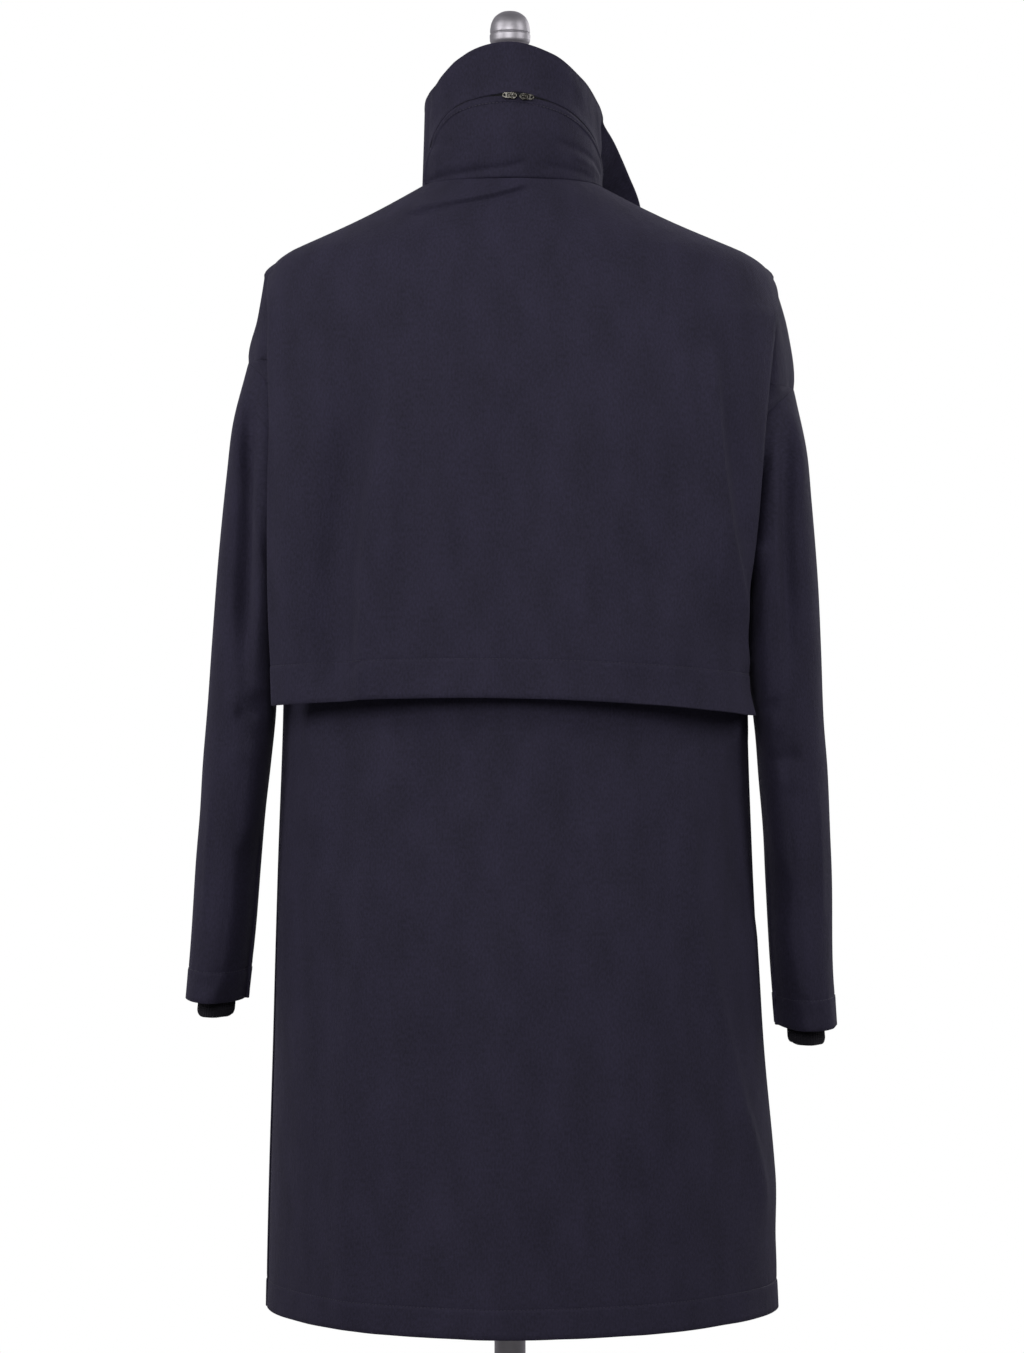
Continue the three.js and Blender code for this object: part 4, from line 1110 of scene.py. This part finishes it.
# Places on the collar are the distance along its base from the middle of the back, and the height
# above it.
COLLAR_FOLDS = [
    Fold([(-101, 84), (-103, 45), (-102, 2)], -2.4, 5, 8, 12),
    Fold([(-48, 112), (-60, 96), (-82, 80)], 1.6, 12, 9, 14),
    Fold([(30, 106), (62, 92), (92, 70)], 1.4, 12, 8, 16),
    Fold([(140, 70), (150, 42), (172, 14), (196, 2)], -4.5, 8, 9, 14, 1.5),
    Fold([(118, 78), (124, 50), (130, 20)], 1.8, 8, 8, 18),
    Fold([(-150, 60), (-165, 40), (-190, 20)], -2, 8, 12, 20),
]
POCKET_FOLDS = [
    Fold([(-92, 2), (-66, 4), (-30, 7), (-4, 10), (16, 15)], -2.0, 2.5, 4, 10, 1.5),
    Fold([(-84, 10), (-50, 13), (-16, 17)], 0.6, 5, 4, 16),
    Fold([(-96, 30), (-72, 33), (-50, 28)], -1.5, 6, 4, 12),
    Fold([(-90, 48), (-66, 58), (-40, 60)], 1.2, 7, 7, 16),
    Fold([(34, 34), (66, 27), (96, 17), (116, 6)], -1.6, 3, 5, 14, 1.5),
    Fold([(52, 22), (80, 16), (108, 5)], 1.0, 4, 3, 12),
    Fold([(22, 12), (58, 9), (92, 3)], -1.3, 3, 4, 14),
    Fold([(-20, 40), (14, 44), (52, 40)], 0.7, 9, 8, 18),
]
BASE_REACH = 80  # the collar's base is about as long as a circle of this radius


def places_on_collar(angles, shares):
    height = collar_height(angles)
    return np.radians(angles) * BASE_REACH + 0 * shares, shares * height


def zip_distance(x, y):
    """How far each place on the collar is above the zip's line. It is below 0 under it."""
    turns = np.linspace(ZIP_START - 5, ZIP_END + 5, 120)
    along, up = places_on_collar(turns, zip_share(turns))
    return beside(x, y, np.stack([along, up], -1))[0]


def zip_angle_at(x):
    """The angle at which the zip passes a place across the back."""
    angle = np.array([0.0])
    for _ in range(20):
        angle = angle + (x - collar_point(angle, zip_share(angle))[..., 0]) / math.radians(NECK["back"])
    return float(angle[0])


def parted(angles):
    """How far the zip's two lips are held apart: 1 at the sliders, and 0 away from them."""
    return bell(angles - zip_angle_at(ZIP_MIDDLE_X), 12)


COLLAR_END = 176  # its open front is between this angle and the same on the other hand
# Heights of close rows, from the zip's line.
ROWS_BY_ZIP = [-2, -1.2, -0.5, 0.2, 0.9, 1.6, 2.3, 3, 3.7, 4.4, 5.1, 5.8, 6.6, 7.6, 9, 11, 13]


def collar_rows(angles):
    """Shares of the collar's height at each angle, with close rows where the zip runs."""
    near = np.array(ROWS_BY_ZIP)[:, None]
    band = np.maximum(zip_share(angles), 0.1) + near / collar_height(angles)
    under = np.linspace(0, 1, 15)[:-1, None] * band[:1]
    over = mix(band[-1:], 1, np.linspace(0, 1, 30)[1:, None])
    return np.concatenate([under, band, over])


def make_collar():
    angles = np.linspace(-COLLAR_END, COLLAR_END, 236)[None, :]
    shares = collar_rows(angles)
    grid = collar_point(np.broadcast_to(angles, shares.shape), shares)
    x, y = places_on_collar(angles, shares)
    above = zip_distance(x, y)
    by_zip = smooth(angles, ZIP_START - 2, ZIP_START + 5) * smooth(angles, ZIP_END + 3, ZIP_END - 6)
    edge = mix(1.3, ZIP_WIDTH - 0.4, parted(angles))
    lip = 1.9 * smooth(above, edge - 0.6, edge + 0.5) * bell(np.maximum(above - edge, 0), 6.5)
    under_pocket = -0.8 * smooth(-above, -edge, 1) * smooth(shares, 0, 0.03)
    creases = folded(x, y, COLLAR_FOLDS) * mix(1, smooth(above, -2, 4), by_zip)
    relief = (lip + under_pocket) * by_zip + creases
    relief += 0.5 * uneven(x, 62, 2) * shares + 0.25 * bell((1 - shares) * collar_height(angles), 3)
    return cloth("collar_panel", moved(grid, relief), COLLAR_WALL, SHELL)


POCKET_WELT = 5.5  # the folded band along the pocket's zip
POCKET_BASE = 0.008  # the share of the collar's height at which the pocket starts
POCKET_TOP_ROWS = [9, 7.5, 6.8, 6.2, 5.6, 5, 4.2, 3, 2.2, 1.5, 0.9, 0.4, 0]  # down from its edge


def make_pocket():
    angles = np.linspace(ZIP_START, ZIP_END, 150)[None, :]
    height = collar_height(angles)
    top = zip_share(angles) + mix(0.5, -0.4, parted(angles)) / height
    close = np.array(POCKET_TOP_ROWS)[:, None]
    even = np.linspace(0, 1, 34)[:, None]
    shares = np.concatenate([mix(POCKET_BASE, top - 10.5 / height, even), top - close / height])
    grid = collar_point(np.broadcast_to(angles, shares.shape), shares)
    x, y = places_on_collar(angles, shares)
    below = -zip_distance(x, y)
    share_up = np.clip((shares - POCKET_BASE) / (top - POCKET_BASE), 0, 1)
    swell = POCKET_SWELL * np.sin(np.pi * share_up) * np.maximum(0, np.cos(np.radians(angles)))
    welt = 0.9 * smooth(below, -0.4, 1.6) * smooth(below, POCKET_WELT + 0.5, POCKET_WELT - 1)
    relief = welt - 0.5 * bell(below, 0.9) + 0.4 * ditch(below - POCKET_WELT) + folded(x, y, POCKET_FOLDS)
    relief += 0.35 * uneven(x, 37, 8) * np.sin(np.pi * share_up)
    grid = moved(grid, LAYER_GAP + POCKET_WALL + swell + relief)
    piece = cloth("hood_pocket_panel", grid, POCKET_WALL, SHELL)
    sewn_at = len(shares) - len(close) + index_of(close, POCKET_WELT)
    return piece, stitches("hood_pocket_stitches", [row_line(grid, sewn_at)], THREAD)


COIL_PITCH, COIL_REACH, COIL_HEIGHT, COIL_UP = 1.3, 1.1, 0.9, 2  # up is from the zip's line
TAPE_WALL, TAPE_OUT = 0.5, 0.7
TAPE_ROWS = [-0.6, 0, 0.5, 0.9, 1.2, 1.6, 2, 2.4, 2.8, 3.1, 3.5, 4, 4.6]


def make_zip_tape():
    angles = np.linspace(ZIP_START, ZIP_END, 900)[None, :]
    height = collar_height(angles)
    rows = np.array(TAPE_ROWS)[:, None]
    shares = zip_share(angles) + rows / height
    grid = collar_point(np.broadcast_to(angles, shares.shape), shares)
    along = run_lengths(grid, 1)
    turn = 0.5 + 0.5 * np.cos(2 * np.pi * along / COIL_PITCH)
    bulge = np.sqrt(np.clip(1 - ((rows - COIL_UP) / COIL_REACH) ** 2, 0, 1))
    grid = moved(grid, TAPE_OUT + COIL_HEIGHT * bulge * (0.55 + 0.45 * turn))
    return cloth("zip_tape_and_coil", grid, TAPE_WALL, TAPE)


# ---------------------------------------------------------------- zip sliders and pulls


def zip_frame(angle, out):
    """A place on the zip: X along it towards the wearer's right, Y across it and Z out of the collar."""
    angles = angle + np.array([[-1.0, 0.0, 1.0]])
    shares = zip_share(angles) + np.array([[-0.02], [0.0], [0.02]])
    grid = collar_point(np.broadcast_to(angles, shares.shape), shares)
    along = grid[1, 2] - grid[1, 0]
    along /= np.linalg.norm(along)
    outward = normals_of(grid)[1, 1]
    across = np.cross(outward, along)
    place = grid[1, 1] + outward * out
    turned = Matrix([along, across, outward]).transposed().to_4x4()
    return Matrix.Translation(Vector(place * MM)) @ turned


def rounded_corner(before, here, after, radius, count):
    """Points round a corner, on a curve that starts and ends about radius away from it."""
    here = np.array(here, float)
    ways = [np.array(point, float) - here for point in (before, after)]
    lengths = [np.linalg.norm(way) for way in ways]
    reach = min(radius, 0.49 * lengths[0], 0.49 * lengths[1])
    start, end = (here + way / length * reach for way, length in zip(ways, lengths))
    return [(1 - t) ** 2 * start + 2 * t * (1 - t) * here + t**2 * end for t in np.linspace(0, 1, count)]


def rounded_outline(corners, radius):
    """A closed outline with each corner rounded off by about radius."""
    points = []
    for before, here, after in zip(corners[-1:] + corners[:-1], corners, corners[1:] + corners[:1]):
        points += rounded_corner(before, here, after, radius, 5)
    return points


def plate(outlines, low, high, bevel):
    """A flat plate with rounded edges: its outline, then its holes, from one height to another."""
    curve = bpy.data.curves.new("plate", "CURVE")
    curve.dimensions, curve.fill_mode = "2D", "BOTH"
    curve.extrude = ((high - low) / 2 - bevel) * MM
    curve.bevel_depth, curve.bevel_resolution = bevel * MM, 3
    curve.offset = -bevel * MM
    for outline in outlines:
        spline = curve.splines.new("POLY")
        spline.points.add(len(outline) - 1)
        spline.points.foreach_set("co", [k for x, y in outline for k in (x * MM, y * MM, 0, 1)])
        spline.use_cyclic_u = True
    holder = bpy.data.objects.new("plate", curve)
    bpy.context.scene.collection.objects.link(holder)
    mesh = bpy.data.meshes.new_from_object(holder.evaluated_get(bpy.context.evaluated_depsgraph_get()))
    bpy.data.objects.remove(holder)
    mesh.transform(Matrix.Translation((0, 0, (low + high) / 2 * MM)))
    return mesh


# A rod's rounded end, from its tip: how far each ring stands out and how wide it is, in radii.
ROD_END = [(0.999, 0.1494), (0.5206, 0.5646), (0.1585, 0.8912), (0.0146, 0.9975)]


def rod_mesh(path, radius, flat=1.0, segments=20):
    """A bar along a path of (x, y, z), with rounded ends. flat squashes it across."""
    points = smooth_path(path, 8) if len(path) > 2 else np.array(path, float)
    ahead = np.gradient(points, axis=0)
    ahead /= np.linalg.norm(ahead, axis=-1, keepdims=True)
    side = np.cross(ahead, (0, 1, 0) if abs(ahead[0][1]) < 0.9 else (0, 0, 1))
    side /= np.linalg.norm(side, axis=-1, keepdims=True)
    other = np.cross(ahead, side)
    turns = np.linspace(0, 2 * np.pi, segments + 1)[:-1]
    spots = [(0, -out, share) for out, share in ROD_END]
    spots += [(i, 0, 1) for i in range(len(points))]
    spots += [(-1, out, share) for out, share in reversed(ROD_END)]
    rings = []
    for i, out, share in spots:
        circle = np.cos(turns)[:, None] * side[i] + np.sin(turns)[:, None] * other[i] * flat
        rings.append(points[i] + (ahead[i] * out + circle * share) * radius)
    faces = closed_faces(len(rings), segments)
    mesh = bpy.data.meshes.new("rod")
    mesh.from_pydata((np.concatenate(rings) * MM).tolist(), [], faces)
    return mesh


def assembled(name, meshes, place, made_of):
    """One piece from several meshes, moved to its place."""
    points, faces = [], []
    for mesh in meshes:
        start = len(points)
        points += [vertex.co / MM for vertex in mesh.vertices]
        faces += [[start + k for k in face.vertices] for face in mesh.polygons]
        bpy.data.meshes.remove(mesh)
    mesh = mesh_of(name, [tuple(p) for p in points], faces, made_of, sharp=35)
    mesh.transform(place)
    return as_piece(name, mesh)


SLIDER_LEAF = [(3.9, -1.1), (3.9, 1.1), (1.2, 3.1), (-3.9, 2.5), (-3.9, -2.5), (1.2, -3.1)]
SLIDER_HOLLOW = [(3.0, -0.6), (3.0, 0.6), (0.9, 2.3), (-3.0, 1.8), (-3.0, -1.8), (0.9, -2.3)]
SLIDER_POST = [(1.4, -0.8), (3.6, -0.5), (3.6, 0.5), (1.4, 0.8)]
SLIDER_CROWN = [(-2.3, 2.7), (-2.25, 4.4), (-1.4, 5.3), (0, 5.5), (1.4, 5.3), (2.25, 4.4), (2.3, 2.7)]


def make_slider(name, place):
    """The nose is at +X. Its body is a leaf-shaped plate over another, and its crown holds the pull."""
    leaf = rounded_outline(SLIDER_LEAF, 1.3)
    rim = plate([leaf, rounded_outline(SLIDER_HOLLOW, 1)], 2.5, 3.3, 0.18)
    top = plate([leaf], 1.9, 2.9, 0.25)
    bottom = plate([leaf], 0.0, 0.9, 0.25)
    post = plate([rounded_outline(SLIDER_POST, 0.4)], 0.6, 2.2, 0.1)
    crown = rod_mesh([(x, 0, z) for x, z in SLIDER_CROWN], 0.42, 1.7)
    return assembled(f"slider_{name}_casting", [rim, top, bottom, post, crown], place, ZINC)


PULL_LOOP = [(0.4, -2.5), (0.4, 2.5), (-6.9, 2.5), (-9, 1.3), (-9, -1.3), (-6.9, -2.5)]
PULL_SLOT = [(-0.5, -1.4), (-0.5, 1.4), (-4.6, 1.4), (-4.6, -1.4)]
PULL_EYE = [(-6, -1), (-6, 1), (-7.9, 0.9), (-7.9, -0.9)]


def make_pull(name, place):
    """The pull lies flat towards -X: a pin under the crown, two arms, and a loop with an eye."""
    outlines = ((PULL_LOOP, 1.1), (PULL_SLOT, 0.5), (PULL_EYE, 0.8))
    flat = plate([rounded_outline(*outline) for outline in outlines], PIN_OUT - 0.5, PIN_OUT + 0.5, 0.3)
    pin = rod_mesh([(0, -2.2, PIN_OUT), (0, 2.2, PIN_OUT)], 0.5)
    return assembled(f"pull_{name}_loop", [flat, pin], place, ZINC)


# ---------------------------------------------------------------- dress form and stand


FORM_COLUMNS, FORM_SQUARE = 144, 2.2
FORM_MM_PER_DEGREE = 2.2  # about, round its chest
FORM_YOKE_INSETS = (4.6, 4.6, 4.6, 4.6, 7.5)  # how far in from the coat it lies, at FORM_YOKE_SHARES
FORM_SEAMS = (0, 42, 90, 138, 180, 222, 270, 318)  # the canvas is sewn from eight panels
FORM_TOP = (0.99, 0.8, 0.3)  # shares of the neck's width, from its edge in
FORM_UNDERSIDE = ((0.2, 0), (0.6, 0), (0.93, 0), (0.98, 0.6))  # share of the width, and height


def form_rings(rows, turns):
    rings = []
    for z, side, back, front in zip(rows["z"], rows["side"], rows["back"], rows["front"]):
        reach = {"left": side, "right": side, "back": back, "front": front, "square": FORM_SQUARE}
        rings.append(section(turns, reach, z))
    return rings


def make_form():
    turns = np.arange(FORM_COLUMNS) * 360 / FORM_COLUMNS
    plan = turns[None, :]
    yoke = yoke_point(plan, np.array(FORM_YOKE_SHARES)[:, None])
    yoke = moved(yoke, -np.array(FORM_YOKE_INSETS)[:, None] * np.ones_like(plan), True)
    yoke[0, :, 0] = np.clip(yoke[0, :, 0], -FORM_SHOULDER_END, FORM_SHOULDER_END)
    rings = np.array(form_rings(TORSO, turns) + list(yoke) + form_rings(FORM_NECK, turns))
    grid = through(rings, np.linspace(0, len(rings) - 1, (len(rings) - 1) * 6 + 1))
    for seam in FORM_SEAMS:
        across = np.abs((turns - seam + 180) % 360 - 180) * FORM_MM_PER_DEGREE
        grid = moved(grid, -0.5 * np.broadcast_to(bell(across, 1.6), grid.shape[:2]), True)
    low = [grid[0] * (share, share, 1) + (0, 0, rise) for share, rise in FORM_UNDERSIDE]
    top = [mix(np.array([0, CAP_MIDDLE_Y, 0]), grid[-1], (share, share, 1)) for share in FORM_TOP]
    grid = np.concatenate([low, grid[1:], top])
    across = np.tile(turns * FORM_MM_PER_DEGREE, (len(grid), 1))
    flat = np.stack([across, run_lengths(grid, 0)], -1).reshape(-1, 2)
    corners = flat[grid_faces(*grid.shape[:2]).ravel()].reshape(-1, 4, 2)
    corners = past_seam(corners, 360 * FORM_MM_PER_DEGREE).reshape(-1, 2)
    uvs = np.concatenate([corners, np.zeros((2 * FORM_COLUMNS, 2))])
    faces = closed_faces(*grid.shape[:2])
    mesh = mesh_of("form_torso_canvas", grid.reshape(-1, 3), faces, LINEN, uvs, sharp=60)
    return as_piece("form_torso_canvas", mesh)


def turned_piece(name, profile, made_of, middle_y=0, segments=96):
    """A piece turned about the pole's line, from pairs of radius and height."""
    turns = np.linspace(0, 2 * np.pi, segments + 1)[:-1]
    circle = np.stack([np.cos(turns), np.sin(turns), 0 * turns], -1)
    rings = [circle * r + (0, middle_y, z) for r, z in profile]
    faces = closed_faces(len(rings), segments)
    return as_piece(name, mesh_of(name, np.concatenate(rings), faces, made_of, sharp=40))


def eased(corners, radius):
    """A turned profile with its corners rounded by radius, apart from its two ends."""
    points = [corners[0]]
    for before, here, after in zip(corners, corners[1:], corners[2:]):
        points += rounded_corner(before, here, after, radius, 7)
    return points + [corners[-1]]


# The knob's profile: radius, and height above its seat on the neck cap.
KNOB_STEM = [(1, 0), (14, 0), (15, 2), (9, 8), (8, 24), (10, 33), (16.4, 37.4), (17.9, 39.6), (18.2, 42)]
KNOB_RING = [(18.2, 42), (18.3, 45.6), (17.2, 46.4), (17.9, 47.4)]
KNOB_DOME = [(17.9, 47.4), (17.8, 51), (16.6, 56.5), (13.6, 61.8), (8.2, 65.6), (3, 66.8), (0.6, 66.9)]


def make_knob():
    seat = FORM_NECK["z"][-1] + CAP_HEIGHT + 2 * SEAT_GAP
    stem, dome = list(smooth_path(KNOB_STEM, 5)), list(smooth_path(KNOB_DOME, 6))
    profile = stem + eased(KNOB_RING, 0.8)[1:] + dome[1:]
    return turned_piece("knob_turned", [(r, seat + z) for r, z in profile], STEEL, CAP_MIDDLE_Y)


def disc(low, high, radius):
    """The profile of a disc or a rod between two heights."""
    return [(1, low), (radius, low), (radius, high), (1, high)]


def make_stand():
    """The pieces of the stand, each by the node that it stands for."""
    cap = FORM_NECK["z"][-1] + SEAT_GAP
    base = TORSO["z"][0] - SEAT_GAP
    low = FOOT_HEIGHT + SEAT_GAP
    under_plate = base - PLATE_HEIGHT - SEAT_GAP
    bore, rim = POLE_RADIUS + SEAT_GAP + 0.1, FOOT_HEIGHT + SOCKET_HEIGHT
    foot = [(1, 0), (FOOT_RADIUS - 2, 0), (FOOT_RADIUS, 3)]
    foot += [(FOOT_RADIUS, FOOT_HEIGHT - 1), (1, FOOT_HEIGHT)]
    socket = [(bore, low + 0.5), (SOCKET_RADIUS, low), (SOCKET_RADIUS, rim), (bore, rim - 0.5)]
    profiles = {
        "neck_cap": (STEEL, 3, disc(cap, cap + CAP_HEIGHT, CAP_RADIUS)),
        "form_plate": (POWDER, 1.2, disc(base - PLATE_HEIGHT, base, PLATE_RADIUS)),
        "pole": (STEEL, 0.8, disc(low, under_plate, POLE_RADIUS)),
        "foot": (POWDER, 3.5, foot),
        "pole_socket": (POWDER, 4, socket),
    }
    pieces = {}
    for node, (made_of, radius, profile) in profiles.items():
        middle_y = CAP_MIDDLE_Y if node == "neck_cap" else 0
        pieces[node] = turned_piece(f"{node}_turned", eased(profile, radius), made_of, middle_y, 128)
    return pieces


# ---------------------------------------------------------------- the whole part


def place(piece, node, slot, body=COAT):
    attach(piece, body)
    if node:
        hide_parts(node)
    return piece


def build_cloth():
    panels = {
        "back": (make_back, (0.62, 1.08), 0.575, "hung", ["form_torso"]),
        "front_right": (make_front_right, (0.37, 1.08), 0.315, "hung", ["form_torso"]),
        "front_left": (make_front_left, (0.35, 1.08), 0.3, "hung", ["form_torso"]),
        "cape": (make_cape, (0.58, 0.52), 0.237, "draped", ["back"]),
        "hood_pocket": (make_pocket, (0.28, 0.07), 0.0134, "laid", ["collar"]),
    }
    for node, (make, flat, area, held, rests_on) in panels.items():
        piece, sewn = make()
        place(piece, node, "shell")
        place(sewn, None, "shell")
    collar = place(make_collar(), "collar", "shell")
    tape = place(make_zip_tape(), "zip_tape", "zip_tape")
    for name, (side, rows, lower) in SLEEVES.items():
        piece, sewn = make_sleeve(name, side, rows, lower)
        place(piece, f"sleeve_{name}", "shell")
        place(sewn, None, "shell")
        rib = place(make_rib(name, side, rows), f"rib_cuff_{name}", "rib")


def build_zip_hardware():
    middle = zip_angle_at(ZIP_MIDDLE_X)
    off_middle = zip_angle_at(SLIDER_FROM_MIDDLE) - zip_angle_at(0)
    for name, (side, _, _) in SLEEVES.items():
        turned = Matrix.Rotation(math.pi, 4, "Z") if side > 0 else Matrix.Identity(4)
        where = zip_frame(middle + side * off_middle, SLIDER_LIFT) @ turned
        place(make_slider(name, where), f"slider_{name}", "zip_metal")
        place(make_pull(name, where), f"pull_{name}", "zip_metal", body=f"pull_{name}")


def build_stand():
    place(make_form(), "form_torso", "form_cloth")
    place(make_knob(), "knob", "stand_metal")
    for node, piece in make_stand().items():
        place(piece, node, "stand_metal" if node in ("neck_cap", "pole") else "stand_paint")


# ---------------------------------------------------------------- camera, floor and light


def build_camera():
    """Level with the middle of the coat, 3.2 m behind it."""
    camera = bpy.data.cameras.new("camera")
    camera.sensor_fit, camera.sensor_width = "AUTO", 36
    camera.lens = 94.6
    holder = bpy.data.objects.new("camera", camera)
    holder.location, holder.rotation_euler = (0.0018, -3.2, 0.974), (math.radians(90), 0, 0)
    bpy.context.scene.collection.objects.link(holder)
    bpy.context.scene.camera = holder


def softbox(name, place, aim, size, watts):
    light = bpy.data.lights.new(name, "AREA")
    light.shape, light.size, light.size_y = "RECTANGLE", size[0], size[1]
    light.energy = watts
    holder = bpy.data.objects.new(name, light)
    holder.location = place
    holder.rotation_euler = (Vector(aim) - Vector(place)).to_track_quat("-Z", "Y").to_euler()
    holder.visible_camera = False
    bpy.context.scene.collection.objects.link(holder)


def build_studio():
    scene = bpy.context.scene
    scene.view_settings.view_transform = "Standard"
    world = bpy.data.worlds.new("white studio")
    scene.world = world
    world.use_nodes = True
    tree = world.node_tree
    tree.nodes.clear()
    # The backdrop behind the coat throws back far more light than the dark room behind the camera.
    toward = add(tree, "SeparateXYZ", {"Vector": add(tree, "TexCoord")["Generated"]})
    glow = {"Value": toward["Y"], "From Min": -0.4, "From Max": 0.8, "To Min": 0.13, "To Max": 0.36}
    strength = add(tree, "MapRange", glow, interpolation_type="SMOOTHSTEP")["Result"]
    seen = add(tree, "Background", {"Color": linear("#ffffff"), "Strength": 1.0})["Background"]
    lit = add(tree, "Background", {"Color": linear("#f7f6fb"), "Strength": strength})["Background"]
    by_camera = add(tree, "LightPath")["Is Camera Ray"]
    blend = add(tree, "MixShader", {0: by_camera, 1: lit, 2: seen})["Shader"]
    add(tree, "OutputWorld", {"Surface": blend})
    softbox("behind the camera", (-0.4, -3.2, 2.1), (0, 0, 1.45), (1.6, 1.2), 40)
    softbox("left", (-2.1, -1.15, 2.1), (0, 0, 1.3), (0.9, 1.4), 19)
    softbox("right", (2.1, -1.15, 2.1), (0, 0, 1.3), (0.9, 1.4), 16)
    softbox("front left", (1.7, 1.7, 2.0), (0, 0, 1.1), (1.0, 1.2), 9)
    rim = [(1.3 * math.cos(turn), 1.3 * math.sin(turn), 0) for turn in np.linspace(0, 2 * np.pi, 129)[:-1]]
    mesh = bpy.data.meshes.new("floor")
    mesh.from_pydata(rim, [], [list(range(128))])
    mesh.materials.append(studio_floor())
    as_piece("floor", mesh)


build_camera()
build_cloth()
build_zip_hardware()
build_stand()
build_studio()
